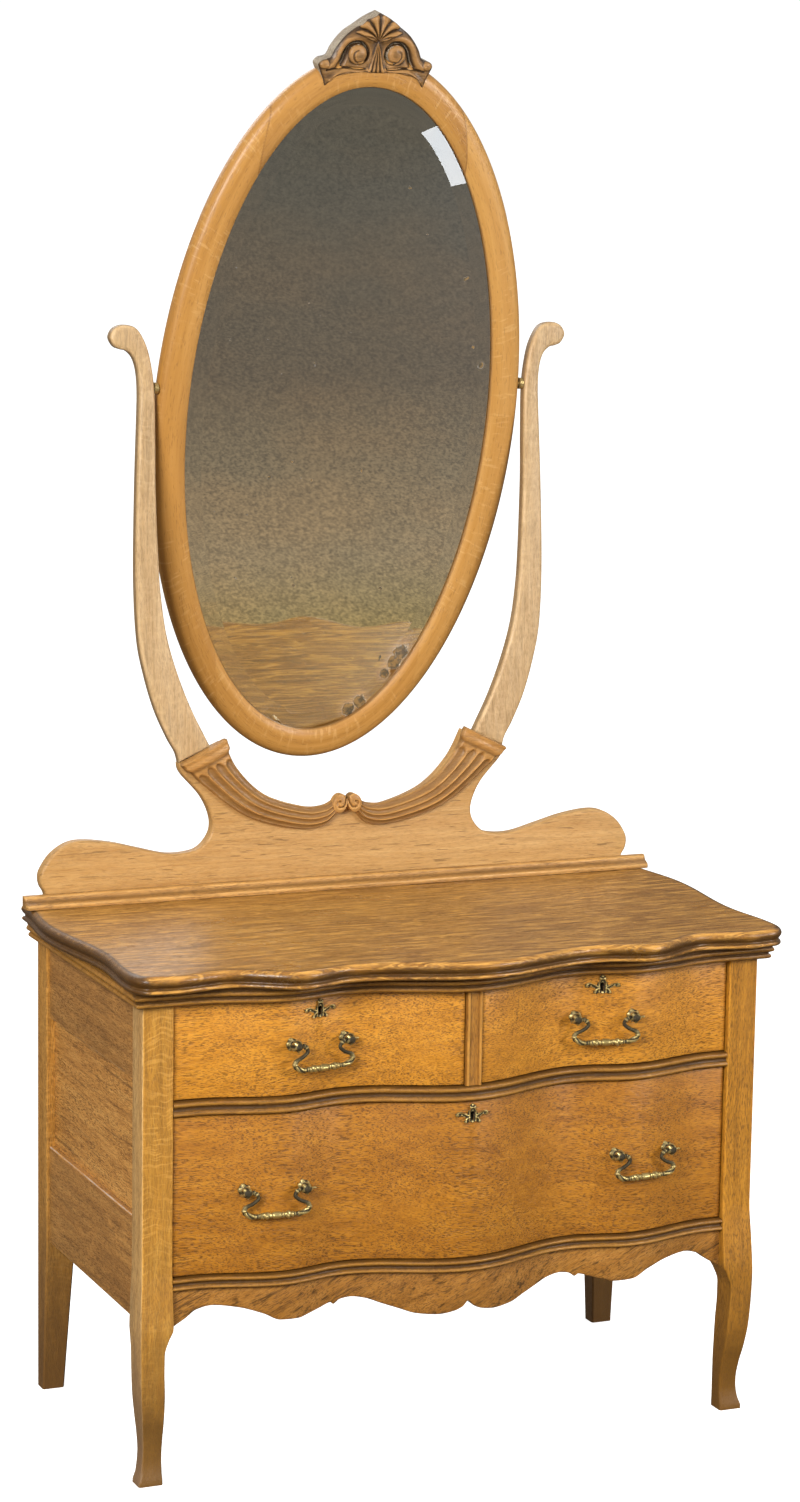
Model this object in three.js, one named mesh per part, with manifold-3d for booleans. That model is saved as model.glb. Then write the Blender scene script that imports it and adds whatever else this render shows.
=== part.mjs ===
// Serpentine chest of drawers with cabriole front legs and an oval mirror that tilts in a harp frame.
// Millimetres. X runs to the right, Y to the back and Z up. The floor is at zero height.
import * as THREE from "three";
import { mergeVertices } from "three/addons/utils/BufferGeometryUtils.js";
import Module from "manifold-3d";

const wasm = await Module();
wasm.setup();

// Fits
const seatGap = 0.3;
const runningGap = 1.2;
const cutOverrun = 3;
const mergeDistance = 0.001;
const boreSides = 12;
const easeSteps = 2;

// Case
const caseWidth = 880;
const caseDepth = 441.5;
const postSize = 42;
const postTopHeight = 640;
const edgeEase = 2;

// Rails between the posts, with a front that swells and dips along the case
const lowerRailTopHeight = 277.5;
const lowerRailThickness = 17;
const middleRailTopHeight = 511.5;
const middleRailThickness = 20.5;
const waveDepth = 51;
const waveStep = 27.5;
const wavePlaceShares = [0, 0.375, 0.568, 0.852];
const waveDepthShares = [1, 0.18, 0.47, 0];

// Centre stile between the upper drawers
const stileWidth = 22;
const stileDepth = 40;
const stileBead = 5;
const stileBeadSteps = 6;
const stileSetback = 3;

// Apron under the lower rail, with its drop at each place along its half length
const apronThickness = 20;
const apronDrop = 58;
const apronPlaceShares = [
  0, 0.02, 0.05, 0.106, 0.169, 0.227, 0.28, 0.333, 0.38, 0.42, 0.44, 0.452, 0.49, 0.54, 0.573, 0.64, 0.7,
  0.78, 0.86, 0.912, 0.95, 0.98, 1,
];
const apronDropShares = [
  0.72, 0.85, 0.94, 1, 0.97, 0.85, 0.73, 0.6, 0.55, 0.59, 0.68, 0.63, 0.7, 0.79, 0.84, 0.82, 0.64, 0.48,
  0.42, 0.5, 0.68, 0.8, 0.88,
];

// Sides
const sideInset = 4;
const sideRailThickness = 22;
const upperSideRailWidth = 105;
const lowerSideRailWidth = 137;
const lowerSideRailHeight = 217;
const panelThickness = 8;
const panelRecess = 8;
const grooveDepth = 6;

// Back panel
const backThickness = 6;
const backInset = 9;

// Front legs: heights up to the top of the knee, and how far the faces draw in there
const kneeTopHeight = 300;
const frontLegDrawIn = 13;
const sideLegDrawIn = 6.5;
const innerLegDrawIn = 12;
const rearLegDrawIn = 7;
const legHeightShares = [
  0, 0.01, 0.05, 0.1, 0.147, 0.22, 0.317, 0.417, 0.533, 0.6, 0.667, 0.71, 0.833, 1,
];
const frontFaceShares = [
  0.6, 0.6, 0.82, 1, 0.92, 0.62, 0.02, -0.35, -0.54, -0.6, -0.62, -0.57, -0.31, 0,
];
const sideFaceShares = [
  0, 0, 0.57, 0.88, 1, 0.77, 0.23, -0.23, -0.46, -0.52, -0.55, -0.5, -0.31, 0,
];
const innerFaceShares = [
  0.75, 0.75, 0.75, 0.75, 0.75, 0.75, 0.8, 0.87, 1, 1, 0.5, 0, 0, 0,
];

// Back legs
const backFootWidth = 31;
const backFootDepth = 25;

// Top board
const topThickness = 24;
const topHalfLength = 475;
const topFrontOverhang = 95;
const topBackOverhang = 3.5;
const topSideWaist = 17;
const topNose = 9;
const topNoseSteps = 3;
const topFrontPlaceShares = [0, 0.362, 0.518, 0.716, 0.863, 0.93];
const topFrontDepthShares = [1, 0.59, 0.775, 0.37, 0.487, 0.44];
const topSidePlaceShares = [1.016, 0.353, -0.52, -0.93];
const topSideWaistShares = [0.76, 0, 1, 0.62];
const topCornerShares = [0.985, 0.395];
const topFrontSteps = 48;
const topSideSteps = 14;
const topCornerSteps = 4;

// Moulding under the top board: how far each point stands out of the case, and its height share
const mouldingHeight = 23;
const mouldingInset = 35;
const mouldingReach = 18;
const mouldingReachShares = [0.5, 0.67, 0.73, 0.67, 0.58, 0.61, 0.83, 0.89, 0.83, 0.78, 0.83, 1];
const mouldingHeightShares = [0, 0.07, 0.17, 0.28, 0.33, 0.39, 0.48, 0.59, 0.7, 0.74, 0.87, 1];

// Rail front profile: two beads with a cove between them
const railBeadShares = [0, 0.1, 0.3, 0.42, 0.58, 0.7, 0.9, 1];
const railSetShares = [1, 0.15, 0, 0.55, 0.55, 0, 0.15, 1];
const railProfileDepth = 5;

// Runner frames
const runnerWidth = 55;
const runnerBarWidth = 50;

// Drawers
const drawerSetback = 8;
const drawerFrontThickness = 20;
const drawerSideThickness = 12;
const drawerBackY = 190;
const drawerSideHeightShare = 0.85;
const drawerBottomThickness = 6;
const drawerBottomLift = 8;
const drawerGroove = 5;

// Locks and escutcheons
const lockWidth = 50;
const lockHeight = 34;
const lockThickness = 10;
const boltWidth = 16;
const boltThickness = 4;
const boltHeight = 24;
const boltTravel = 9;
const keyholeDrop = 16;
const keyholeRadius = 3;
const keySlotWidth = 2.6;
const keySlotLength = 9;
const plateHalfWidth = 23.5;
const plateHeight = 26;
const plateThickness = 2;
const upperPlatePlaceShare = 0.459091;
const plateOutlineShares = [
  [0, 0.52], [0.1, 0.46], [0.17, 0.37], [0.15, 0.22], [0.25, 0.1], [0.31, -0.02], [0.5, 0.03], [0.68, 0.09],
  [0.86, 0.09], [0.99, 0], [0.97, -0.12], [0.82, -0.15], [0.66, -0.08], [0.5, -0.17], [0.38, -0.2],
  [0.42, -0.32], [0.5, -0.4], [0.44, -0.48], [0.3, -0.47], [0.22, -0.4], [0.1, -0.44], [0, -0.48],
];

// Handles
const handleSpacing = 80;
const upperHandlePlaceShare = 0.464773;
const upperHandleHeight = 580;
const lowerHandlePlaceShare = 0.6;
const lowerHandleHeight = 390;
const handlePostReach = 15;
const rosetteRadius = 8;
const postBallRadius = 6;
const postBallNeckAngle = -0.96;
const postBallSteps = 6;
const postSteps = 10;
const postRadiusShares = [1, 1, 0.75, 0.425, 0.425];
const postReachShares = [0, 0.12, 0.24, 0.3, 0.55];
const bailPinRadius = 1.5;
const bailPinGap = 0.6;
const bailRadius = 2.2;
const bailBeadRadius = 3.4;
const bailDrop = 32.5;
const bailSides = 6;
const bailSteps = 40;
const bailPinSteps = 3;
const bailBarShare = 0.97;
const bailPlaceShares = [1, 0.82, 0.68, 0.62, 0.78, 1.02, 1.09, 1.05, 0.84, 0.5];
const bailDropShares = [0, 0, 0.09, 0.27, 0.45, 0.58, 0.7, 0.85, 0.985, 1];

// Harp board that stands on the top board
const harpFrontY = 193;
const harpThickness = 20;
const harpHalfLength = 444.5;
const harpHeight = 226;
const harpEase = 3;
const harpLobeShares = [
  [0.976, 0], [0.983, 0.075], [0.9955, 0.119], [1, 0.173], [0.992, 0.226], [0.961, 0.31], [0.911, 0.372],
  [0.855, 0.385], [0.767, 0.361], [0.684, 0.319], [0.589, 0.272], [0.517, 0.274], [0.475, 0.305],
  [0.444, 0.389], [0.444, 0.487], [0.475, 0.615], [0.54, 0.76], [0.551, 0.827],
];
const harpSaddleShares = [
  [0.41, 0.945], [0.36, 0.765], [0.27, 0.6], [0.14, 0.505], [0.05, 0.5], [0, 0.5],
];
const harpLobeSteps = 32;
const harpSaddleSteps = 14;

// Base moulding in front of the harp board
const baseMouldingHeight = 17;
const baseMouldingDepth = 23;
const baseMouldingHalfLength = 470;
const baseMouldingEndEase = 4;
const baseMouldingEndShare = 0.8;
const baseMouldingProfileShares = [
  [0, 0], [1, 0], [1, 0.3], [0.93, 0.42], [0.8, 0.5], [0.62, 0.58], [0.5, 0.72], [0.42, 0.9], [0.3, 1],
  [0, 1],
];

// Fluted carving: its upper and lower edges as shares of the harp board's half length and height
const carvingRise = 9;
const carvingCrown = 5;
const fluteDepth = 3.5;
const fluteCount = 4;
const carvingSteps = 16;
const carvingUpperShares = [
  [0.41, 0.968], [0.365, 0.785], [0.275, 0.615], [0.148, 0.525], [0.075, 0.523], [0.03, 0.57],
];
const carvingLowerShares = [
  [0.548, 0.832], [0.47, 0.68], [0.33, 0.48], [0.16, 0.385], [0.07, 0.4], [0.028, 0.49],
];
const rimShare = 0.1;
const voluteRadius = 13;
const voluteFootRadius = 10.4;
const volutePlace = 11.5;
const voluteHeight = 119;
const voluteRise = 13;
const voluteSides = 18;

// Arms of the harp, which lean back a little: outer and inner edges as shares
const armTopHeight = 1474;
const armLean = Math.tan(THREE.MathUtils.degToRad(2.2));
const armThickness = 20;
const armEase = 4;
const armOuterX = 305;
const armSideShares = [
  [0.795, -0.02], [0.81, 0.02], [0.852, 0.059], [0.911, 0.126], [0.959, 0.209], [0.989, 0.292], [1, 0.43],
  [0.992, 0.626], [0.979, 0.793], [0.976, 0.85], [0.982, 0.895], [1, 0.925], [1.03, 0.941], [1.06, 0.945],
  [1.09, 0.952], [1.11, 0.972], [1.09, 0.992], [1.046, 1], [0.985, 0.992], [0.94, 0.955], [0.915, 0.905],
  [0.902, 0.843], [0.9, 0.74], [0.9, 0.626], [0.889, 0.459], [0.877, 0.376], [0.852, 0.292], [0.805, 0.209],
  [0.741, 0.126], [0.675, 0.059], [0.635, 0.02],
];
const armSteps = 54;

// Mirror
const mirrorTilt = THREE.MathUtils.degToRad(12.3);
const mirrorHeight = 1343;
const pivotHeight = 1388;
const glassHalfWidth = 225;
const glassHalfHeight = 462.5;
const frameSideWidth = 45;
const frameEndWidth = 44;
const frameDepth = 26;
const frameSteps = 60;
const frameSectionShares = [
  [0, 0.24], [0.1, 0.1], [0.32, 0], [0.62, 0], [0.86, 0.12], [0.98, 0.36], [1, 0.66], [0.95, 1],
];
const rabbetWidth = 8;
const rabbetDepth = 15.5;
const glassPlay = 1;
const glassThickness = 6;
const glassEdgeThickness = 3;
const glassBevel = 25;
const backboardThickness = 5;
const pivotDepthShare = 0.46;
const pivotRadius = 4;
const pivotInsert = 11;
const pivotCollarRadius = 8;
const pivotSides = 16;

// Crest on the mirror frame: outline as shares of its half width and of its height above its foot
const crestHalfWidth = 82.5;
const crestHeight = 99;
const crestLip = 2;
const crestThickness = 26;
const crestProud = 5;
const crestEase = 2;
const crestOutlineShares = [
  [0, 1], [0.2, 0.915], [0.36, 0.82], [0.52, 0.727], [0.625, 0.636], [0.727, 0.515], [0.79, 0.4],
  [0.85, 0.37], [0.94, 0.35], [1, 0.293], [0.97, 0.217], [0.9, 0.09], [0.855, 0], [0.76, 0.1],
  [0.64, 0.15], [0.5, 0.175], [0.23, 0.2], [0, 0.187],
];
const crestSteps = 36;

// Materials
function finish(color, roughness, metalness) {
  return { color, roughness, metalness };
}
const paleOak = finish(0xc08a4e, 0.5, 0);
const goldenOak = finish(0xa8692c, 0.42, 0);
const brownOak = finish(0x8a5226, 0.38, 0);
const plainWood = finish(0xb58a5c, 0.7, 0);
const agedBrass = finish(0x8c7440, 0.4, 1);
const steel = finish(0x777777, 0.4, 1);
const silvered = finish(0xb8bcc0, 0.05, 1);

// Turns a closed geometry into a solid for joining and cutting
function solidOf(geometry) {
  const bare = geometry.index ? geometry.toNonIndexed() : geometry.clone();
  bare.deleteAttribute("normal");
  bare.deleteAttribute("uv");
  const merged = mergeVertices(bare, mergeDistance);
  const vertProperties = merged.attributes.position.array;
  const triVerts = new Uint32Array(merged.index.array);
  return new wasm.Manifold(new wasm.Mesh({ numProp: 3, vertProperties, triVerts }));
}

function geometryOf(solid) {
  const mesh = solid.getMesh();
  const geometry = new THREE.BufferGeometry();
  const positions = new THREE.BufferAttribute(mesh.vertProperties, mesh.numProp);
  geometry.setAttribute("position", positions);
  geometry.setIndex(new THREE.BufferAttribute(mesh.triVerts, 1));
  geometry.computeVertexNormals();
  return geometry;
}

function cut(body, ...tools) {
  return geometryOf(tools.reduce((solid, tool) => solid.subtract(solidOf(tool)), solidOf(body)));
}

function join(body, ...others) {
  return geometryOf(others.reduce((solid, other) => solid.add(solidOf(other)), solidOf(body)));
}

function common(body, other) {
  return geometryOf(solidOf(body).intersect(solidOf(other)));
}

// A box between two corners
function block(x0, x1, y0, y1, z0, z1) {
  const box = new THREE.BoxGeometry(x1 - x0, y1 - y0, z1 - z0);
  return box.translate((x0 + x1) / 2, (y0 + y1) / 2, (z0 + z1) / 2);
}

function signedVolume(points, faces) {
  let volume = 0;
  for (let i = 0; i < faces.length; i += 3) {
    const [a, b, c] = [points[faces[i]], points[faces[i + 1]], points[faces[i + 2]]];
    volume += a.dot(b.clone().cross(c));
  }
  return volume;
}

// Skins a row of rings of equal length. An open row is closed at its ends, where `outline` is a flat ring
function loft(rings, outline, closed = false) {
  const count = rings[0].length;
  const points = rings.flat();
  const faces = [];
  const spans = closed ? rings.length : rings.length - 1;
  for (let r = 0; r < spans; r += 1) {
    const near = r * count;
    const far = ((r + 1) % rings.length) * count;
    for (let i = 0; i < count; i += 1) {
      const next = (i + 1) % count;
      faces.push(near + i, near + next, far + next, near + i, far + next, far + i);
    }
  }
  if (!closed) {
    const last = (rings.length - 1) * count;
    for (const [a, b, c] of THREE.ShapeUtils.triangulateShape(outline, [])) {
      faces.push(...fitWinding(outline, a, b, c));
      faces.push(...fitWinding(outline, a, b, c).reverse().map((i) => i + last));
    }
  }
  if (signedVolume(points, faces) < 0) faces.reverse();
  const geometry = new THREE.BufferGeometry();
  geometry.setAttribute("position", new THREE.Float32BufferAttribute(points.flatMap((p) => p.toArray()), 3));
  geometry.setIndex(faces);
  return geometry;
}

// End faces turn against the side faces next to them, whichever way the outline runs
function fitWinding(outline, a, b, c) {
  const turn = Math.sign(THREE.ShapeUtils.area(outline));
  const [p, q, r] = [outline[a], outline[b], outline[c]];
  const faceTurn = Math.sign((q.x - p.x) * (r.y - p.y) - (q.y - p.y) * (r.x - p.x));
  return turn === faceTurn ? [a, c, b] : [a, b, c];
}

// Smooth rise and fall through a row of heights, level at each one
function throughShares(place, placeShares, valueShares) {
  const last = placeShares.length - 1;
  const rising = placeShares[last] > placeShares[0];
  const before = (a, b) => (rising ? a <= b : a >= b);
  if (before(place, placeShares[0])) return valueShares[0];
  const next = placeShares.findIndex((share, i) => i > 0 && before(place, share));
  if (next < 0) return valueShares[last];
  const t = (place - placeShares[next - 1]) / (placeShares[next] - placeShares[next - 1]);
  const blend = (1 - Math.cos(Math.PI * t)) / 2;
  return THREE.MathUtils.lerp(valueShares[next - 1], valueShares[next], blend);
}

// Forward swell of the case front, straight between stations so that all pieces share its facets
function swellAtStation(station) {
  const place = Math.abs(station * waveStep) / (caseWidth / 2);
  return waveDepth * throughShares(place, wavePlaceShares, waveDepthShares);
}

function swell(x) {
  const station = Math.floor(x / waveStep);
  const t = x / waveStep - station;
  return THREE.MathUtils.lerp(swellAtStation(station), swellAtStation(station + 1), t);
}

function stationsBetween(x0, x1) {
  const inner = [];
  for (let i = Math.floor(x0 / waveStep) + 1; i * waveStep < x1; i += 1) inner.push(i * waveStep);
  return [x0, ...inner, x1];
}

const upperPlatePlace = (upperPlatePlaceShare * caseWidth) / 2;
const upperHandlePlace = (upperHandlePlaceShare * caseWidth) / 2;
const lowerHandlePlace = (lowerHandlePlaceShare * caseWidth) / 2;
const frontY = -caseDepth / 2;
const backY = caseDepth / 2;
const postInnerX = caseWidth / 2 - postSize;
const postInnerY = caseDepth / 2 - postSize;

function drawerFaceY(x) {
  return frontY + drawerSetback - swell(x);
}

// A piece that follows the case front: `section` gives its outline at one place along the case
function alongFront(x0, x1, section) {
  const rings = stationsBetween(x0, x1).map((x) => section(x).map(([y, z]) => new THREE.Vector3(x, y, z)));
  return loft(rings, section(x0).map(([y, z]) => new THREE.Vector2(y, z)));
}

function curveThrough(points, steps) {
  return new THREE.SplineCurve(points).getPoints(steps);
}

function sharesToPoints(shares, width, height) {
  return shares.map(([x, y]) => new THREE.Vector2(x * width, y * height));
}

function mirrored(points) {
  return points.map((p) => new THREE.Vector2(-p.x, p.y)).reverse();
}

// A flat outline with eased edges, laid in the plane of the harp: outline X and Y become X and Z
function standingPlate(outline, thickness, ease) {
  const geometry = new THREE.ExtrudeGeometry(new THREE.Shape(outline), {
    depth: thickness - 2 * ease,
    bevelThickness: ease,
    bevelSize: ease,
    bevelOffset: -ease,
    bevelSegments: easeSteps,
    steps: 1,
  });
  geometry.translate(0, 0, ease - thickness);
  return geometry.rotateX(Math.PI / 2);
}

const part = new THREE.Group();

function place(name, geometry, look, carrier = part) {
  const mesh = new THREE.Mesh(geometry, new THREE.MeshStandardMaterial(look));
  mesh.name = name;
  carrier.add(mesh);
  return mesh;
}

const sides = [
  { name: "left", sign: -1 },
  { name: "right", sign: 1 },
];

// Mirrors a body across the case when it belongs to the left side
function onSide(geometry, sign) {
  if (sign > 0) return geometry;
  const flipped = (geometry.index ? geometry.toNonIndexed() : geometry.clone()).scale(-1, 1, 1);
  const p = flipped.attributes.position;
  for (let i = 0; i < p.count; i += 3) {
    const [x, y, z] = [p.getX(i), p.getY(i), p.getZ(i)];
    p.setXYZ(i, p.getX(i + 1), p.getY(i + 1), p.getZ(i + 1));
    p.setXYZ(i + 1, x, y, z);
  }
  flipped.computeVertexNormals();
  return flipped;
}

// A level ring with cut corners
function postRing(x0, x1, y0, y1, z) {
  const e = edgeEase;
  const corners = [
    [x0 + e, y0], [x1 - e, y0], [x1, y0 + e], [x1, y1 - e],
    [x1 - e, y1], [x0 + e, y1], [x0, y1 - e], [x0, y0 + e],
  ];
  return corners.map(([x, y]) => new THREE.Vector3(x, y, z));
}

function ringOutline(ring) {
  return ring.map((p) => new THREE.Vector2(p.x, p.y));
}

const upperRailBottomHeight = postTopHeight - upperSideRailWidth;
const lowerSideRailTopHeight = lowerSideRailHeight + lowerSideRailWidth;
const panelOuterX = caseWidth / 2 - sideInset - panelRecess;

// Groove that takes the edge of the side panel
function panelGroove(innerY, outerY) {
  return block(
    panelOuterX - panelThickness - seatGap,
    panelOuterX + seatGap,
    innerY,
    outerY,
    lowerSideRailTopHeight - grooveDepth - seatGap,
    upperRailBottomHeight + grooveDepth + seatGap,
  );
}

function frontPost() {
  const rings = legHeightShares.map((share, i) => postRing(
    postInnerX + innerLegDrawIn * innerFaceShares[i],
    caseWidth / 2 - sideLegDrawIn * sideFaceShares[i],
    frontY + frontLegDrawIn * frontFaceShares[i],
    -postInnerY - rearLegDrawIn * innerFaceShares[i],
    share * kneeTopHeight,
  ));
  rings.push(postRing(postInnerX, caseWidth / 2, frontY, -postInnerY, postTopHeight));
  const groove = panelGroove(-postInnerY - grooveDepth - seatGap, -postInnerY + cutOverrun);
  return cut(loft(rings, ringOutline(rings[0])), groove);
}

function backPost() {
  const rings = [
    postRing(caseWidth / 2 - backFootWidth, caseWidth / 2, backY - backFootDepth, backY, 0),
    postRing(postInnerX, caseWidth / 2, postInnerY, backY, lowerSideRailHeight),
    postRing(postInnerX, caseWidth / 2, postInnerY, backY, postTopHeight),
  ];
  const groove = panelGroove(postInnerY - cutOverrun, postInnerY + grooveDepth + seatGap);
  return cut(loft(rings, ringOutline(rings[0])), groove);
}

function sideRail(z0, z1) {
  const outerX = caseWidth / 2 - sideInset;
  const reach = postInnerY - seatGap;
  const rail = block(outerX - sideRailThickness, outerX, -reach, reach, z0, z1);
  return cut(rail, panelGroove(-postInnerY - cutOverrun, postInnerY + cutOverrun));
}

function sidePanel() {
  const reach = postInnerY + grooveDepth;
  return block(
    panelOuterX - panelThickness,
    panelOuterX,
    -reach,
    reach,
    lowerSideRailTopHeight - grooveDepth,
    upperRailBottomHeight + grooveDepth,
  );
}

for (const { name, sign } of sides) {
  place("post_front_" + name, onSide(frontPost(), sign), paleOak);
  place("post_back_" + name, onSide(backPost(), sign), paleOak);
  const upperRail = sideRail(upperRailBottomHeight, postTopHeight);
  place("side_rail_upper_" + name, onSide(upperRail, sign), goldenOak);
  place("side_panel_" + name, onSide(sidePanel(), sign), goldenOak);
  const lowerRail = sideRail(lowerSideRailHeight, lowerSideRailTopHeight);
  place("side_rail_lower_" + name, onSide(lowerRail, sign), goldenOak);
}

const mouldingBaseHeight = postTopHeight + seatGap;
const topBottomHeight = mouldingBaseHeight + mouldingHeight + seatGap;
const topHeight = topBottomHeight + topThickness;

// Back panel between the back posts, up to the top board
const backPanelReach = postInnerX - seatGap;
const backPanelY = backY - backInset;
place("back_panel", block(
  -backPanelReach,
  backPanelReach,
  backPanelY - backThickness,
  backPanelY,
  lowerSideRailHeight,
  topBottomHeight - seatGap,
), plainWood);

// Top board: half of its front edge, its rounded corner and its waisted side
function topOutline() {
  const half = caseDepth / 2;
  const frontPoint = (share) => new THREE.Vector2(
    share * topHalfLength,
    -half - topFrontOverhang * throughShares(share, topFrontPlaceShares, topFrontDepthShares),
  );
  const sidePoint = (share) => new THREE.Vector2(
    topHalfLength - topSideWaist * throughShares(share, topSidePlaceShares, topSideWaistShares),
    share * half,
  );
  const points = [];
  const frontEnd = topFrontPlaceShares.at(-1);
  for (let i = 0; i <= topFrontSteps / 2; i += 1) points.push(frontPoint(frontEnd * i / (topFrontSteps / 2)));
  const sideStart = topSidePlaceShares.at(-1);
  const sideEnd = topSidePlaceShares[0];
  const [cornerX, cornerOver] = topCornerShares;
  const corner = new THREE.QuadraticBezierCurve(
    points.at(-1),
    new THREE.Vector2(cornerX * topHalfLength, -half - topFrontOverhang * cornerOver),
    sidePoint(sideStart),
  );
  points.push(...corner.getPoints(topCornerSteps).slice(1, -1));
  for (let i = 0; i <= topSideSteps; i += 1) {
    points.push(sidePoint(THREE.MathUtils.lerp(sideStart, sideEnd, i / topSideSteps)));
  }
  points.at(-1).y = half + topBackOverhang;
  return [...points, ...mirrored(points.slice(1))];
}

const topBoard = new THREE.ExtrudeGeometry(new THREE.Shape(topOutline()), {
  depth: topThickness - 2 * topNose,
  bevelThickness: topNose,
  bevelSize: topNose,
  bevelOffset: -topNose,
  bevelSegments: topNoseSteps,
  steps: 1,
});
topBoard.translate(0, 0, topBottomHeight + topNose);
place("top_board", topBoard, brownOak);

// Moulding under the top board, round the front and both sides, with mitred corners
function topMoulding() {
  const profile = mouldingReachShares.map((share, i) => new THREE.Vector2(
    share * mouldingReach,
    mouldingHeightShares[i] * mouldingHeight,
  ));
  profile.push(new THREE.Vector2(-mouldingInset, mouldingHeight), new THREE.Vector2(-mouldingInset, 0));
  const sideX = caseWidth / 2;
  const stations = stationsBetween(-sideX, sideX).slice(1, -1);
  const path = [
    { x: -sideX, y: backY, outX: -1, outY: 0 },
    { x: -sideX, y: frontY, outX: -1, outY: -1 },
    ...stations.map((x) => ({ x, y: frontY - swell(x), outX: 0, outY: -1 })),
    { x: sideX, y: frontY, outX: 1, outY: -1 },
    { x: sideX, y: backY, outX: 1, outY: 0 },
  ].filter(({ x, outX }) => outX !== 0 || Math.abs(x) < sideX - mouldingInset);
  const rings = path.map(({ x, y, outX, outY }) => profile.map((p) => new THREE.Vector3(
    x + outX * p.x,
    y + outY * p.x,
    mouldingBaseHeight + p.y,
  )));
  return loft(rings, profile);
}

// Mortise that a drawer's lock bolt slides up into
function boltMortise(x, z) {
  const y = drawerFaceY(x) + drawerFrontThickness - lockThickness / 2;
  const [w, t] = [boltWidth / 2 + runningGap, boltThickness / 2 + runningGap];
  return block(x - w, x + w, y - t, y + t, z - cutOverrun, z + boltTravel + runningGap);
}

const upperMortises = sides.map(({ sign }) => boltMortise(sign * upperPlatePlace, mouldingBaseHeight));
place("top_moulding", cut(topMoulding(), ...upperMortises), brownOak);

// Rails with a beaded front that follows the swell
function frontRail(topZ, thickness) {
  const section = (x) => {
    const nose = frontY - swell(x);
    const beads = railBeadShares.map((share, i) => [
      nose + railSetShares[i] * railProfileDepth,
      topZ - thickness + share * thickness,
    ]);
    return [...beads, [-postInnerY, topZ], [-postInnerY, topZ - thickness]];
  };
  const reach = postInnerX - seatGap;
  return alongFront(-reach, reach, section);
}

const middleRailBottomHeight = middleRailTopHeight - middleRailThickness;
const lowerRailBottomHeight = lowerRailTopHeight - lowerRailThickness;
const middleRail = frontRail(middleRailTopHeight, middleRailThickness);
place("middle_rail", cut(middleRail, boltMortise(0, middleRailBottomHeight)), brownOak);
place("lower_rail", frontRail(lowerRailTopHeight, lowerRailThickness), brownOak);

// Centre stile: a flat between two beads
function centreStile() {
  const front = frontY - swell(0) + stileSetback;
  const half = stileWidth / 2;
  const beadRadius = stileBead / 2;
  const bead = new THREE.EllipseCurve(half - beadRadius, 0, beadRadius, beadRadius, Math.PI, 0, true);
  const beadPoints = bead.getPoints(stileBeadSteps);
  beadPoints.forEach((p) => p.set(p.x, front - p.y + beadRadius));
  const right = [...beadPoints, new THREE.Vector2(half, front + stileDepth)];
  const geometry = new THREE.ExtrudeGeometry(new THREE.Shape([...right, ...mirrored(right)]), {
    depth: postTopHeight - middleRailTopHeight - seatGap,
    bevelEnabled: false,
  });
  return geometry.translate(0, 0, middleRailTopHeight + seatGap);
}
place("centre_stile", centreStile(), brownOak);

// Apron with a scalloped lower edge
function apron() {
  const reach = postInnerX - seatGap;
  const top = lowerRailBottomHeight - seatGap;
  const places = new Set(apronPlaceShares.flatMap((share) => [share * reach, -share * reach]));
  stationsBetween(-reach, reach).forEach((x) => places.add(x));
  const ring = (x) => {
    const share = Math.abs(x) / reach;
    const inner = Math.max(0, apronPlaceShares.findLastIndex((s) => s < share));
    const [s0, s1] = apronPlaceShares.slice(inner);
    const [d0, d1] = apronDropShares.slice(inner);
    const bottom = lowerRailBottomHeight - apronDrop * THREE.MathUtils.mapLinear(share, s0, s1, d0, d1);
    const front = drawerFaceY(x);
    const back = front + apronThickness;
    const corners = [[front, bottom], [front, top], [back, top], [back, bottom]];
    return corners.map(([y, z]) => new THREE.Vector3(x, y, z));
  };
  const rings = [...places].sort((a, b) => a - b).map(ring);
  return loft(rings, rings[0].map((p) => new THREE.Vector2(p.y, p.z)));
}
place("apron", apron(), goldenOak);

// Runner frames behind the rails, each with two bays
function runnerFrame(topZ, thickness) {
  const reachX = caseWidth / 2 - sideInset - sideRailThickness - seatGap;
  const reachY = postInnerY - seatGap;
  const frame = block(-reachX, reachX, -reachY, reachY, topZ - thickness, topZ);
  const bays = sides.map(({ sign }) => {
    const near = runnerWidth / 2;
    const far = reachX - runnerWidth;
    const [x0, x1] = sign > 0 ? [near, far] : [-far, -near];
    const reach = reachY - runnerBarWidth;
    return block(x0, x1, -reach, reach, topZ - thickness - cutOverrun, topZ + cutOverrun);
  });
  return cut(frame, ...bays);
}
place("runner_frame_upper", runnerFrame(middleRailTopHeight, middleRailThickness), plainWood);
place("runner_frame_lower", runnerFrame(lowerRailTopHeight, lowerRailThickness), plainWood);

// Drawers: where each lies, where its lock and handles are
const stileHalf = stileWidth / 2;
const drawers = [
  {
    name: "upper_left",
    x0: -postInnerX + runningGap,
    x1: -stileHalf - runningGap,
    floor: middleRailTopHeight,
    ceiling: postTopHeight,
    plateX: -upperPlatePlace,
    handles: [{ suffix: "upper_left", x: -upperHandlePlace, z: upperHandleHeight }],
  },
  {
    name: "upper_right",
    x0: stileHalf + runningGap,
    x1: postInnerX - runningGap,
    floor: middleRailTopHeight,
    ceiling: postTopHeight,
    plateX: upperPlatePlace,
    handles: [{ suffix: "upper_right", x: upperHandlePlace, z: upperHandleHeight }],
  },
  {
    name: "lower",
    x0: -postInnerX + runningGap,
    x1: postInnerX - runningGap,
    floor: lowerRailTopHeight,
    ceiling: middleRailBottomHeight,
    plateX: 0,
    handles: [
      { suffix: "lower_left", x: -lowerHandlePlace, z: lowerHandleHeight },
      { suffix: "lower_right", x: lowerHandlePlace, z: lowerHandleHeight },
    ],
  },
];

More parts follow.
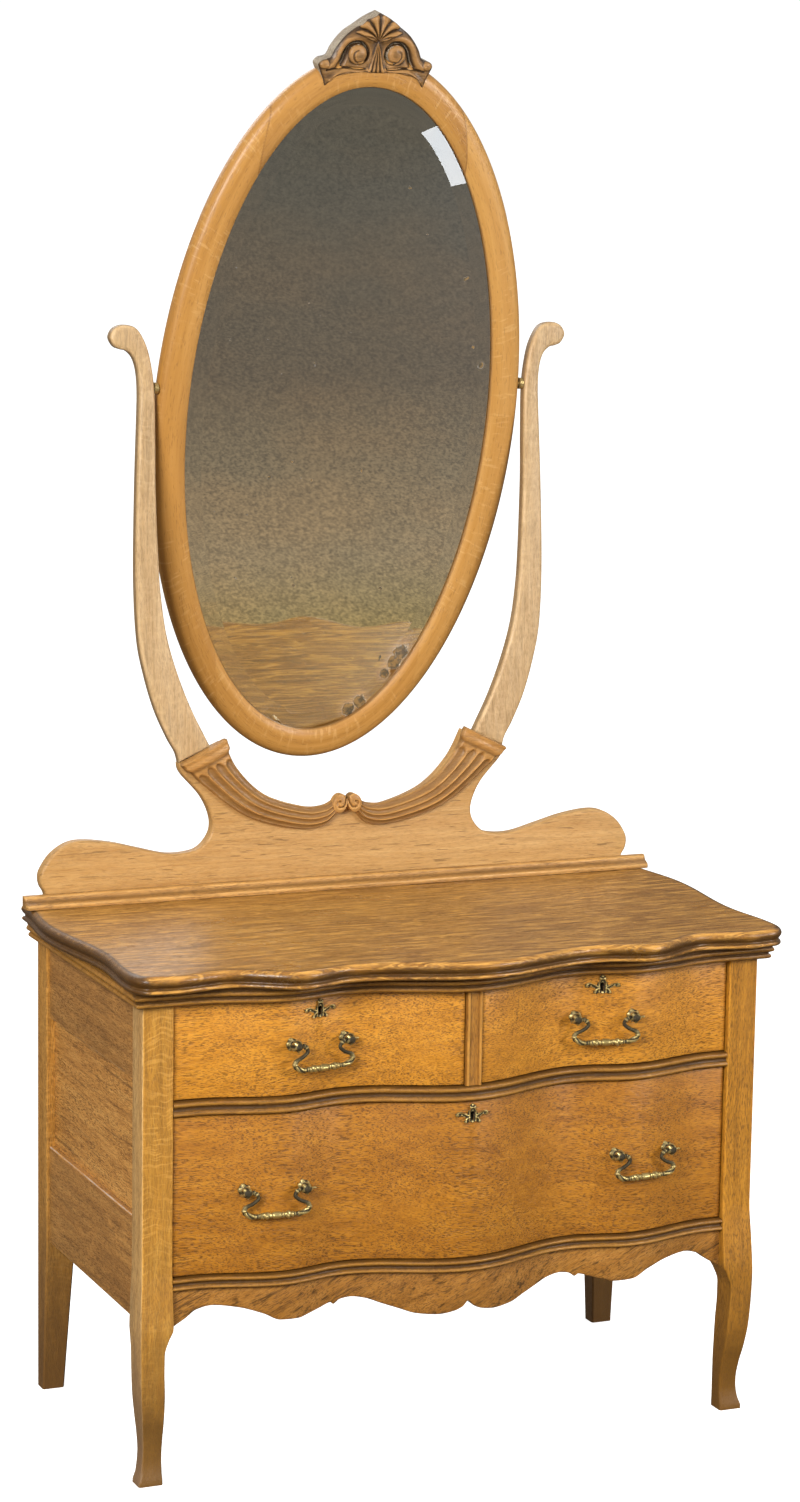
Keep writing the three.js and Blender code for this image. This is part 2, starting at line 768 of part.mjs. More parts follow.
function keyHole(x, z, y0, y1) {
  const round = new THREE.CylinderGeometry(keyholeRadius, keyholeRadius, y1 - y0, boreSides);
  round.translate(x, (y0 + y1) / 2, z);
  const slot = block(x - keySlotWidth / 2, x + keySlotWidth / 2, y0, y1, z - keySlotLength, z);
  return join(round, slot);
}

function drawerFront({ x0, x1, floor, ceiling, plateX }) {
  const [z0, z1] = [floor + runningGap, ceiling - runningGap];
  const front = alongFront(x0, x1, (x) => {
    const y = drawerFaceY(x);
    return [[y, z0], [y, z1], [y + drawerFrontThickness, z1], [y + drawerFrontThickness, z0]];
  });
  const lockBackY = drawerFaceY(plateX) + drawerFrontThickness;
  const pocket = block(
    plateX - lockWidth / 2 - seatGap,
    plateX + lockWidth / 2 + seatGap,
    lockBackY - lockThickness - seatGap,
    lockBackY + waveDepth,
    z1 - lockHeight - seatGap,
    z1 + cutOverrun,
  );
  const faceY = drawerFaceY(plateX);
  const hole = keyHole(plateX, z1 - keyholeDrop, faceY - waveDepth, faceY + drawerFrontThickness);
  return cut(front, pocket, hole);
}

// Plan of the space behind a drawer front: straight sides and back, and the front's own curve
function drawerPlan(x0, x1, back) {
  const curve = stationsBetween(x0, x1).map((x) => new THREE.Vector2(
    x,
    drawerFaceY(x) + drawerFrontThickness + seatGap,
  ));
  return [...curve, new THREE.Vector2(x1, back), new THREE.Vector2(x0, back)];
}

function slabOver(plan, z0, z1) {
  const geometry = new THREE.ExtrudeGeometry(new THREE.Shape(plan), { depth: z1 - z0, bevelEnabled: false });
  return geometry.translate(0, 0, z0);
}

function drawerBox({ x0, x1, floor, ceiling }) {
  const z0 = floor + seatGap;
  const z1 = z0 + (ceiling - floor) * drawerSideHeightShare;
  const t = drawerSideThickness;
  const outer = slabOver(drawerPlan(x0, x1, drawerBackY), z0, z1);
  const well = block(x0 + t, x1 - t, -caseDepth, drawerBackY - t, z0 - cutOverrun, z1 + cutOverrun);
  const g = drawerGroove + seatGap;
  const grooveZ = z0 + drawerBottomLift;
  const groove = block(
    x0 + t - g,
    x1 - t + g,
    -caseDepth,
    drawerBackY - t + g,
    grooveZ - seatGap,
    grooveZ + drawerBottomThickness + seatGap,
  );
  return cut(outer, well, groove);
}

function drawerBottom({ x0, x1, floor }) {
  const inset = drawerSideThickness - drawerGroove;
  const plan = drawerPlan(x0 + inset, x1 - inset, drawerBackY - inset);
  const z0 = floor + seatGap + drawerBottomLift;
  return slabOver(plan, z0, z0 + drawerBottomThickness);
}

function lockCase({ ceiling, plateX }) {
  const z1 = ceiling - runningGap;
  const backFace = drawerFaceY(plateX) + drawerFrontThickness;
  const body = block(
    plateX - lockWidth / 2,
    plateX + lockWidth / 2,
    backFace - lockThickness,
    backFace,
    z1 - lockHeight,
    z1,
  );
  const [w, t] = [boltWidth / 2 + seatGap, boltThickness / 2 + seatGap];
  const y = backFace - lockThickness / 2;
  const well = block(plateX - w, plateX + w, y - t, y + t, z1 - boltHeight - seatGap, z1 + cutOverrun);
  return cut(body, well);
}

function lockBolt({ ceiling, plateX }) {
  const z1 = ceiling - runningGap;
  const y = drawerFaceY(plateX) + drawerFrontThickness - lockThickness / 2;
  const [w, t] = [boltWidth / 2, boltThickness / 2];
  return block(plateX - w, plateX + w, y - t, y + t, z1 - boltHeight, z1);
}

// The space just in front of a drawer face, from the seat out to `reach`
function faceLayer(x0, x1, z0, z1, reach) {
  return alongFront(x0, x1, (x) => {
    const y = drawerFaceY(x) - seatGap;
    return [[y - reach, z0], [y - reach, z1], [y, z1], [y, z0]];
  });
}

function escutcheon({ ceiling, plateX }) {
  const z = ceiling - runningGap - keyholeDrop;
  const right = sharesToPoints(plateOutlineShares, plateHalfWidth, plateHeight);
  const outline = [...right, ...mirrored(right.slice(1, -1))];
  const faceY = drawerFaceY(plateX);
  const plate = slabOver(outline, -waveDepth, waveDepth).rotateX(Math.PI / 2).translate(plateX, faceY, z);
  const reach = plateHalfWidth + cutOverrun;
  const layer = faceLayer(plateX - reach, plateX + reach, z - plateHeight, z + plateHeight, plateThickness);
  const hole = keyHole(plateX, z, faceY - waveDepth, faceY + waveDepth);
  return cut(common(plate, layer), hole);
}

// A turned handle post, from behind the drawer face out to its finial, with a bore for the bail's pin
function handlePost(inward) {
  const profile = [new THREE.Vector2(0, -rosetteRadius), new THREE.Vector2(rosetteRadius, -rosetteRadius)];
  postRadiusShares.forEach((share, i) => profile.push(new THREE.Vector2(
    share * rosetteRadius,
    postReachShares[i] * handlePostReach,
  )));
  const ball = new THREE.EllipseCurve(
    0,
    handlePostReach,
    postBallRadius,
    postBallRadius,
    postBallNeckAngle,
    Math.PI / 2,
  );
  profile.push(...ball.getPoints(postBallSteps));
  profile.at(-1).x = 0;
  const post = new THREE.LatheGeometry(profile, postSteps).rotateX(Math.PI);
  const boreRadius = bailPinRadius + bailPinGap;
  const bore = new THREE.CylinderGeometry(boreRadius, boreRadius, postBallRadius * 2, boreSides);
  bore.rotateZ(Math.PI / 2).translate(inward * (postBallRadius - bailPinGap), -handlePostReach, 0);
  return cut(post, bore);
}

// Bail: pins in the posts, arms that curve in and out again, and a beaded bar between them
function bail() {
  const half = handleSpacing / 2;
  const rightSide = bailPlaceShares.map((share, i) => new THREE.Vector2(
    share * half,
    -bailDrop * bailDropShares[i],
  ));
  const path = new THREE.SplineCurve([...rightSide, ...mirrored(rightSide)]);
  const rings = [];
  const circle = [];
  for (let i = 0; i < bailSides; i += 1) {
    const angle = (2 * Math.PI * i) / bailSides;
    circle.push(new THREE.Vector2(Math.cos(angle), Math.sin(angle)));
  }
  for (let i = 0; i <= bailSteps; i += 1) {
    const p = path.getPointAt(i / bailSteps);
    const along = path.getTangentAt(i / bailSteps);
    const onPin = Math.min(i, bailSteps - i) < bailPinSteps;
    const onBar = p.y < -bailDrop * bailBarShare;
    const bead = onBar ? (bailBeadRadius - bailRadius) * (i % 2) : 0;
    const radius = onPin ? bailPinRadius : bailRadius + bead;
    rings.push(circle.map((c) => new THREE.Vector3(
      p.x - along.y * c.x * radius,
      c.y * radius,
      p.y + along.x * c.x * radius,
    )));
  }
  return loft(rings, circle);
}

// Puts one handle across its two seats on the curved face
function placeHandle({ suffix, x, z }, drawer) {
  const half = handleSpacing / 2;
  const [xa, xb] = [x - half, x + half];
  const [ya, yb] = [drawerFaceY(xa), drawerFaceY(xb)];
  const turn = Math.atan2(yb - ya, xb - xa);
  const centre = new THREE.Matrix4().makeRotationZ(turn);
  centre.setPosition(x, (ya + yb) / 2, z);
  const layerReach = handlePostReach + postBallRadius * 2;
  const layer = faceLayer(xa - half, xb + half, z - half, z + half, layerReach);
  for (const { name, sign } of sides) {
    const post = handlePost(-sign).translate(sign * half, 0, 0).applyMatrix4(centre);
    place("handle_post_" + suffix + "_" + name, common(post, layer), agedBrass, drawer);
  }
  const hanging = bail().translate(0, -handlePostReach, 0).applyMatrix4(centre);
  place("bail_" + suffix, hanging, agedBrass, drawer);
}

for (const drawer of drawers) {
  const group = new THREE.Group();
  part.add(group);
  place("drawer_front_" + drawer.name, drawerFront(drawer), goldenOak, group);
  place("drawer_box_" + drawer.name, drawerBox(drawer), plainWood, group);
  place("drawer_bottom_" + drawer.name, drawerBottom(drawer), plainWood, group);
  place("lock_case_" + drawer.name, lockCase(drawer), steel, group);
  place("lock_bolt_" + drawer.name, lockBolt(drawer), agedBrass, group);
  place("escutcheon_" + drawer.name, escutcheon(drawer), agedBrass, group);
  drawer.handles.forEach((handle) => placeHandle(handle, group));
}

// Harp board on the top board
const harpBase = topHeight + seatGap;

function harpBoard() {
  const lobe = curveThrough(sharesToPoints(harpLobeShares, harpHalfLength, harpHeight), harpLobeSteps);
  const saddle = curveThrough(sharesToPoints(harpSaddleShares, harpHalfLength, harpHeight), harpSaddleSteps);
  const right = [...lobe, ...saddle];
  const plate = standingPlate([...right, ...mirrored(right.slice(0, -1))], harpThickness, harpEase);
  return plate.translate(0, harpFrontY, harpBase);
}
place("harp_board", harpBoard(), paleOak);

function baseMoulding() {
  const front = harpFrontY - seatGap;
  const outline = baseMouldingProfileShares.map(([out, up]) => new THREE.Vector2(
    front - out * baseMouldingDepth,
    up * baseMouldingHeight,
  ));
  const full = baseMouldingHalfLength - baseMouldingEndEase;
  const rings = [-baseMouldingHalfLength, -full, full, baseMouldingHalfLength].map((x) => {
    const share = Math.abs(x) > full ? baseMouldingEndShare : 1;
    return outline.map((p) => new THREE.Vector3(x, THREE.MathUtils.lerp(front, p.x, share), harpBase + p.y));
  });
  return loft(rings, outline);
}
place("base_moulding", baseMoulding(), paleOak);

// Fluted carving: a horn on each side that narrows to a volute at the centre
function carvedHorn() {
  const upper = curveThrough(sharesToPoints(carvingUpperShares, harpHalfLength, harpHeight), carvingSteps);
  const lower = curveThrough(sharesToPoints(carvingLowerShares, harpHalfLength, harpHeight), carvingSteps);
  const crossSteps = fluteCount * 2;
  const rings = upper.map((top, k) => {
    const along = k / carvingSteps;
    const isRim = along < rimShare;
    const ring = [new THREE.Vector3(lower[k].x, 0, lower[k].y), new THREE.Vector3(top.x, 0, top.y)];
    for (let i = 0; i <= crossSteps; i += 1) {
      const across = i / crossSteps;
      const flute = isRim || i % 2 === 0 ? 0 : fluteDepth;
      const rim = isRim ? fluteDepth / 2 : 0;
      const rise = carvingRise + carvingCrown * Math.sin(Math.PI * across) - flute + rim;
      const p = top.clone().lerp(lower[k], across);
      ring.push(new THREE.Vector3(p.x, -rise, p.y));
    }
    return ring;
  });
  const flat = rings[0].map((p) => new THREE.Vector2(p.x, p.y));
  const horn = loft(rings, flat);
  const volute = new THREE.CylinderGeometry(voluteRadius, voluteFootRadius, voluteRise, voluteSides);
  volute.translate(volutePlace, -voluteRise / 2, voluteHeight);
  return join(horn, volute);
}
const horn = carvedHorn();
const carving = join(horn, onSide(horn, -1)).translate(0, harpFrontY - seatGap, harpBase);
place("fluted_carving", carving, paleOak);

// Leans a standing piece back from the shoulder of the harp
const rimShares = [harpLobeShares.at(-1), harpSaddleShares[0]];
const [rimOuter, rimInner] = sharesToPoints(rimShares, harpHalfLength, harpHeight);
const shoulderHeight = harpBase + rimOuter.y;

function lean(geometry) {
  const p = geometry.attributes.position;
  for (let i = 0; i < p.count; i += 1) p.setY(i, p.getY(i) + (p.getZ(i) - shoulderHeight) * armLean);
  return geometry;
}

// Pivot of the mirror, in the middle of the arms' thickness
const pivotY = harpFrontY + armThickness / 2 + (pivotHeight - shoulderHeight) * armLean;
const armHeight = armTopHeight - shoulderHeight;

function frameOuterX(height) {
  const share = height / (glassHalfHeight + frameEndWidth);
  return (glassHalfWidth + frameSideWidth) * Math.sqrt(1 - share * share);
}

function pivotBore(x0, x1, radius) {
  const bore = new THREE.CylinderGeometry(radius, radius, x1 - x0, pivotSides);
  return bore.rotateZ(Math.PI / 2).translate((x0 + x1) / 2, pivotY, pivotHeight);
}

const pivotInFrame = pivotHeight - mirrorHeight;
const frameEdgeX = frameOuterX(pivotInFrame);
const armOutline = curveThrough(sharesToPoints(armSideShares, armOuterX, armHeight), armSteps);
const armPivotHeight = pivotHeight - shoulderHeight;
const armInnerX = Math.min(...armOutline
  .filter((p) => Math.abs(p.y - armPivotHeight) < (2 * armHeight) / armSteps)
  .map((p) => p.x));

// Everything under the sloping seat that the harp board gives an arm
function underShoulder() {
  const slope = rimInner.clone().sub(rimOuter);
  const lift = new THREE.Vector2(slope.y, -slope.x).setLength(seatGap);
  const [outer, inner] = [rimOuter.clone().sub(slope).add(lift), rimInner.clone().add(slope).add(lift)];
  const outline = [outer, inner, new THREE.Vector2(inner.x, 0), new THREE.Vector2(outer.x, 0)];
  const prism = slabOver(outline, -armHeight, armHeight);
  return prism.rotateX(Math.PI / 2).translate(0, harpFrontY, harpBase);
}

function arm() {
  const plate = standingPlate(armOutline, armThickness, armEase);
  const geometry = lean(plate.translate(0, harpFrontY, shoulderHeight));
  const bore = pivotBore(armInnerX - cutOverrun, armInnerX + pivotInsert + seatGap, pivotRadius + seatGap);
  return cut(geometry, underShoulder(), bore);
}

function pivotPin() {
  const pin = pivotBore(frameEdgeX - pivotInsert, armInnerX + pivotInsert, pivotRadius);
  const collar = pivotBore(frameEdgeX + seatGap * 2, armInnerX - seatGap, pivotCollarRadius);
  return join(pin, collar);
}

for (const { name, sign } of sides) {
  place("arm_" + name, onSide(arm(), sign), paleOak);
  place("pivot_" + name, onSide(pivotPin(), sign), agedBrass);
}

// Mirror: everything in it is laid out around the centre of the glass and tilts as one
const mirror = new THREE.Group();
mirror.position.set(0, pivotY, pivotHeight);
mirror.rotation.x = mirrorTilt;
part.add(mirror);
const faceSetback = -frameDepth * pivotDepthShare;

function ovalPoint(angle, halfWidth, halfHeight, depth) {
  return new THREE.Vector3(
    Math.cos(angle) * halfWidth,
    faceSetback + depth,
    Math.sin(angle) * halfHeight - pivotInFrame,
  );
}

function ovalAngles() {
  return Array.from({ length: frameSteps }, (_, i) => (2 * Math.PI * i) / frameSteps);
}

function frameRing(growth) {
  const rabbet = rabbetWidth / frameSideWidth;
  const section = [
    ...frameSectionShares.map(([across, deep]) => [across, deep * frameDepth]),
    [rabbet, frameDepth],
    [rabbet, frameDepth - rabbetDepth],
    [0, frameDepth - rabbetDepth],
  ];
  const rings = ovalAngles().map((angle) => section.map(([across, depth]) => ovalPoint(
    angle,
    glassHalfWidth + across * frameSideWidth + growth * (across * 2 - 1),
    glassHalfHeight + across * frameEndWidth + growth * (across * 2 - 1),
    depth + growth * ((2 * depth) / frameDepth - 1),
  )));
  return loft(rings, [], true);
}

function mirrorFrame() {
  const bores = sides.map(({ sign }) => {
    const length = pivotInsert + seatGap + cutOverrun;
    const radius = pivotRadius + seatGap;
    const bore = new THREE.CylinderGeometry(radius, radius, length, pivotSides).rotateZ(Math.PI / 2);
    return bore.translate(sign * (frameEdgeX + cutOverrun - length / 2), 0, 0);
  });
  return cut(frameRing(0), ...bores);
}

// A closed body from oval rings, each given by how far it reaches past the visible glass, and its depth
function ovalBody(steps) {
  const rings = steps.map(([reach, depth]) => ovalAngles().map((angle) => ovalPoint(
    angle,
    glassHalfWidth + reach,
    glassHalfHeight + reach,
    depth,
  )));
  return loft(rings, ovalAngles().map((angle) => new THREE.Vector2(
    Math.cos(angle) * glassHalfWidth,
    Math.sin(angle) * glassHalfHeight,
  )));
}

const seatReach = rabbetWidth - glassPlay;
const glassEdgeFace = frameDepth - rabbetDepth + seatGap;
const glassBackFace = glassEdgeFace + glassEdgeThickness;
const backboardFace = glassBackFace + seatGap;
place("mirror_frame", mirrorFrame(), paleOak, mirror);
place("mirror_glass", ovalBody([
  [-glassBevel, glassBackFace - glassThickness],
  [seatReach - rabbetWidth, glassEdgeFace - seatGap],
  [seatReach - rabbetWidth, glassEdgeFace],
  [seatReach, glassEdgeFace],
  [seatReach, glassBackFace],
]), silvered, mirror);
place("mirror_backboard", ovalBody([
  [seatReach, backboardFace],
  [seatReach, backboardFace + backboardThickness],
]), plainWood, mirror);

// Crest over the top of the mirror frame, seated on its rounded face
function crest() {
  const crestFoot = glassHalfHeight + crestLip;
  const right = curveThrough(sharesToPoints(crestOutlineShares, crestHalfWidth, crestHeight), crestSteps);
  const plate = standingPlate([...right, ...mirrored(right.slice(1, -1))], crestThickness, crestEase);
  plate.translate(0, faceSetback - crestProud, crestFoot - pivotInFrame);
  return cut(plate, frameRing(seatGap));
}
place("crest", crest(), paleOak, mirror);

// The origin lies on the floor, midway along the overall width and depth
part.updateMatrixWorld(true);
const extent = new THREE.Box3().setFromObject(part, true);
const middle = extent.getCenter(new THREE.Vector3());
const centred = new THREE.Group();
part.position.y = -middle.y;
centred.add(part);

export default centred;
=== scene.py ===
import math
import bmesh
import bpy
import numpy as np
from mathutils import Matrix, Vector
from mathutils.geometry import delaunay_2d_cdt


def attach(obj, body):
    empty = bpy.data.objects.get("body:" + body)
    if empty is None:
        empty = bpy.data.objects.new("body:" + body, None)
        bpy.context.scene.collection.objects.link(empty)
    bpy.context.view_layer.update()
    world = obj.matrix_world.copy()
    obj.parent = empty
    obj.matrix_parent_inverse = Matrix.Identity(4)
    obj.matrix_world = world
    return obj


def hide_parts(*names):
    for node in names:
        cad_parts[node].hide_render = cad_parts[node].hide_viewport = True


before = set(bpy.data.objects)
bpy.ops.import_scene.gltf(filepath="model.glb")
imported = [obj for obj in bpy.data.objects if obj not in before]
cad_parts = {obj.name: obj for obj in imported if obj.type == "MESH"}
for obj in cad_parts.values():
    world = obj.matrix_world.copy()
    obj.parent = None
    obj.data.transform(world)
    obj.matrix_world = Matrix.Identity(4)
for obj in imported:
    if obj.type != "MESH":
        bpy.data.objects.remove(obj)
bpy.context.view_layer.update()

# The room
# A pale studio floor, a white backdrop for the camera and a dim round of room for everything else.
# One large soft lamp stands high on the left, a weaker one on the right and a faint one behind.
yaw, pitch, roll = math.radians(23.11), math.radians(9.52), math.radians(0.90)
forward = Vector((math.sin(yaw) * math.cos(pitch), math.cos(yaw) * math.cos(pitch), -math.sin(pitch)))
level = Vector((math.cos(yaw), -math.sin(yaw), 0))
upright = level.cross(forward)
right_hand = math.cos(roll) * level + math.sin(roll) * upright
overhead = math.cos(roll) * upright - math.sin(roll) * level


def put(name, data):
    made = bpy.data.objects.new(name, data)
    bpy.context.scene.collection.objects.link(made)
    return made


camera = put("camera", bpy.data.cameras.new("camera"))
camera.data.lens = 89.93
camera.data.sensor_width = 36
camera.data.clip_end = 200
turned = Matrix((right_hand, overhead, -forward)).transposed().to_4x4()
camera.matrix_world = Matrix.Translation((-1.9606, -4.6175, 1.7495)) @ turned
bpy.context.scene.camera = camera
bpy.context.scene.view_settings.view_transform = "Standard"


def soft_lamp(name, place, aim, width, height, watts, tint):
    lamp = put(name, bpy.data.lights.new(name, "AREA"))
    lamp.data.shape = "RECTANGLE"
    lamp.data.size, lamp.data.size_y = width, height
    lamp.data.energy, lamp.data.color = watts, tint
    lamp.location = place
    lamp.rotation_euler = (Vector(aim) - Vector(place)).to_track_quat("-Z", "Y").to_euler()


soft_lamp("lamp_left", (-2.9, -3.0, 2.3), (0, 0, 0.7), 1.5, 1.5, 215, (1, 0.985, 0.96))
soft_lamp("lamp_right", (2.6, -3.0, 1.9), (0, 0, 0.7), 1.2, 1.6, 100, (0.98, 0.99, 1))
soft_lamp("lamp_back", (-0.4, 2.6, 3.0), (0, 0.1, 0.9), 2.0, 1.2, 30, (1, 1, 1))


class Socket:
    """A node's socket that can stand in sums."""

    def __init__(self, look, end):
        self.look, self.end = look, end

    def sum(self, operation, *others):
        return self.look.node("ShaderNodeMath", {"operation": operation}, [self, *others])

    def __add__(self, other):
        return self.sum("ADD", other)

    def __radd__(self, other):
        return self.sum("ADD", other)

    def __mul__(self, other):
        return self.sum("MULTIPLY", other)

    def __rmul__(self, other):
        return self.sum("MULTIPLY", other)

    def __sub__(self, other):
        return self.sum("SUBTRACT", other)

    def __rsub__(self, other):
        return self.sum("MULTIPLY", -1) + other

    def between(self, low, high):
        """0 below low, 1 above high, smooth on the way."""
        kind = {"interpolation_type": "SMOOTHSTEP"}
        return self.look.node("ShaderNodeMapRange", kind, {0: self, 1: low, 2: high})


class Nodes:
    """A node tree, built node by node."""

    def __init__(self, tree):
        self.tree = tree

    def node(self, kind, settings=(), inputs=(), output=0):
        made = self.tree.nodes.new(kind)
        for key, value in dict(settings).items():
            if key == "stops":
                ramp = made.color_ramp
                while len(ramp.elements) < len(value):
                    ramp.elements.new(0.5)
                for stop, (place, colour) in zip(ramp.elements, value):
                    stop.position, stop.color = place, (*colour, 1)
            else:
                setattr(made, key, value)
        pairs = inputs.items() if isinstance(inputs, dict) else enumerate(inputs)
        for key, value in pairs:
            self.feed(made.inputs[key], value)
        return Socket(self, made.outputs[output])

    def feed(self, end, value):
        if isinstance(value, Socket):
            self.tree.links.new(value.end, end)
        elif isinstance(value, tuple) and len(value) == 3 and end.type == "RGBA":
            end.default_value = (*value, 1)
        else:
            end.default_value = value

    def place(self, scale=None):
        """Where a point of the piece lies, counted in finer steps if a scale is given."""
        spot = self.node("ShaderNodeTexCoord", output="Object")
        if scale is None:
            return spot
        return self.node("ShaderNodeVectorMath", {"operation": "SCALE"}, {0: spot, 3: scale})

    def axis(self, spot, letter):
        return self.node("ShaderNodeSeparateXYZ", {}, [spot], "XYZ".index(letter))

    def mark(self, name):
        return self.node("ShaderNodeAttribute", {"attribute_name": name}, {}, 2)

    def mixed(self, share, first, second, blend="MIX"):
        kind = {"data_type": "RGBA", "blend_type": blend}
        return self.node("ShaderNodeMix", kind, {0: share, 6: first, 7: second}, 2)

    def ramp(self, value, *stops):
        """A colour that follows a value, through stops of a place and a colour."""
        return self.node("ShaderNodeValToRGB", {"stops": stops}, [value])

    def bump(self, strength, distance, height):
        return self.node("ShaderNodeBump", {}, {"Strength": strength, "Distance": distance, "Height": height})

    def noise(self, place, detail=2.0, roughness=0.5, distortion=0.0):
        inputs = {"Vector": place, "Scale": 1.0, "Detail": detail, "Roughness": roughness}
        return self.node("ShaderNodeTexNoise", {}, {**inputs, "Distortion": distortion})


class Look(Nodes):
    """A material with one shader."""

    def __init__(self, name):
        self.material = bpy.data.materials.new(name)
        self.material.use_nodes = True
        super().__init__(self.material.node_tree)
        self.tree.nodes.clear()
        self.shader = self.tree.nodes.new("ShaderNodeBsdfPrincipled")
        out = self.tree.nodes.new("ShaderNodeOutputMaterial")
        self.tree.links.new(self.shader.outputs[0], out.inputs[0])

    def wear(self, **ends):
        for key, value in ends.items():
            self.feed(self.shader.inputs[key.replace("_", " ")], value)


floor_look = Look("studio_floor")
mottle = floor_look.noise(floor_look.place(2.0))
floor_look.wear(Base_Color=floor_look.mixed(mottle, (0.80, 0.80, 0.79), (0.84, 0.84, 0.83)), Roughness=0.9)
floor_look.wear(Emission_Color=(1.0, 1.0, 0.99), Emission_Strength=0.72)
floor_mesh = bpy.data.meshes.new("floor")
floor_mesh.from_pydata([(-60, -60, 0), (60, -60, 0), (60, 60, 0), (-60, 60, 0)], [], [(0, 1, 2, 3)])
floor_mesh.materials.append(floor_look.material)
floor = put("floor", floor_mesh)
floor.visible_diffuse = floor.visible_glossy = False

# A tan carpet in front of the dresser, a lit window beyond it, and behind the dresser a wall with a bright
# doorway, dark to the right. Only the glass and the polish see them. None is lit by the lamps: each card
# glows, and the glow of the carpet and of the wall is painted light, the carpet brighter near the dresser and
# darker farther off.
carpet_look = Look("studio_carpet")
pile = carpet_look.noise(carpet_look.place(190.0), 2)
tread = carpet_look.noise(carpet_look.place(2.6), 3)
away = carpet_look.axis(carpet_look.place(), "Y")
# Painted light: the carpet's glow, brighter near the dresser and darker farther away.
shade = carpet_look.ramp((away + 4.0) * 0.25, (0.11, (0.096, 0.082, 0.055)), (0.41, (0.145, 0.098, 0.052)),
                         (0.62, (0.34, 0.235, 0.115)), (0.78, (0.46, 0.33, 0.17)))
shade = carpet_look.mixed(tread.between(0.35, 0.62) * 0.5, shade, (0.72, 0.86, 1.02), "MULTIPLY")
pile = carpet_look.mixed(pile.between(0.28, 0.72), (0.42, 0.42, 0.43), (1.58, 1.57, 1.54))
shade = carpet_look.mixed(1.0, shade, pile, "MULTIPLY")
carpet_look.wear(Base_Color=(0.0, 0.0, 0.0), Roughness=1.0, Emission_Color=shade, Emission_Strength=1.05)
window_look = Look("studio_window")
pane = window_look.noise(window_look.place(3.0))
window_look.wear(Base_Color=(0.0, 0.0, 0.0), Emission_Strength=8.5,
                 Emission_Color=window_look.mixed(pane, (0.8, 0.9, 1.0), (1.0, 1.0, 1.0)))
doorway_look = Look("studio_doorway")
sideways = doorway_look.axis(doorway_look.place(), "X")
beam = sideways.between(0.12, 0.38) * (1.0 - sideways.between(0.50, 0.76))
# Painted light: the wall's glow, grey next to the doorway and dark to the right.
wall = doorway_look.mixed(sideways.between(0.9, 1.7), (0.40, 0.40, 0.40), (0.07, 0.06, 0.05))
doorway_look.wear(Base_Color=(0.0, 0.0, 0.0), Roughness=1.0, Emission_Strength=1.0,
                  Emission_Color=doorway_look.mixed(beam, wall, (1.25, 1.36, 1.47)))
for name, look, corners in (
        ("carpet", carpet_look, [(-4, -9, 0.002), (6, -9, 0.002), (6, -0.28, 0.002), (-4, -0.28, 0.002)]),
        ("window", window_look,
         [(2.08, -3.6, 0.060), (2.62, -3.6, 0.060), (2.62, -3.6, 0.350), (2.08, -3.6, 0.350)]),
        ("doorway", doorway_look, [(0.10, 2.4, 0.7), (3.0, 2.4, 0.7), (3.0, 2.4, 1.9), (0.10, 2.4, 1.9)])):
    card_mesh = bpy.data.meshes.new(name)
    card_mesh.from_pydata(corners, [], [(0, 1, 2, 3)])
    card_mesh.materials.append(look.material)
    card = put(name, card_mesh)
    card.visible_camera = card.visible_diffuse = card.visible_shadow = card.visible_transmission = False

sky = bpy.data.worlds.new("sky")
bpy.context.scene.world = sky
sky.use_nodes = True
air = Nodes(sky.node_tree)
height = air.axis(air.node("ShaderNodeTexCoord", output="Generated"), "Z")
tones = air.ramp(air.node("ShaderNodeMapRange", {}, {0: height, 1: -1}),
                 (0.0, (0.07, 0.055, 0.04)), (0.45, (0.16, 0.14, 0.12)),
                 (0.60, (0.42, 0.42, 0.41)), (1.0, (0.78, 0.80, 0.83)))
to_camera = air.node("ShaderNodeLightPath", output="Is Camera Ray")
air.feed(sky.node_tree.nodes["Background"].inputs[0], air.mixed(to_camera, tones, (1.05, 1.05, 1.05)))

# Front posts with cabriole legs
# Each is one square length of quarter-sawn oak, straight above the knee. Below it the front and the outer
# face are sawn to a slow S that ends in a small forward toe. The outer face is painted paler: painted light,
# as if lit from the side.
case_half = 0.440
front_y, back_y = -0.2396, 0.2019
post = 0.042
post_top = 0.640


def grain(look, along, scales, shift=(0, 0, 0), wander=None, slant=0.0, sway=None):
    """A place in the timber, stretched along the grain: scales are along, across and through."""
    spot = look.place()
    cells = [look.axis(spot, letter) for letter in "XYZ"]
    first = "XYZ".index(along)
    order = [cells[first], cells[(first + 1) % 3], cells[(first + 2) % 3]]
    if slant:
        rise, run = math.sin(slant), math.cos(slant)
        order[0], order[2] = order[0] * run + order[2] * rise, order[2] * run - order[0] * rise
    if wander is not None:
        order[1], order[2] = order[1] + wander, order[2] + wander
    if sway is not None:
        order[0] = order[0] + sway
    return look.node("ShaderNodeCombineXYZ", {}, [c * s + o for c, s, o in zip(order, scales, shift)])


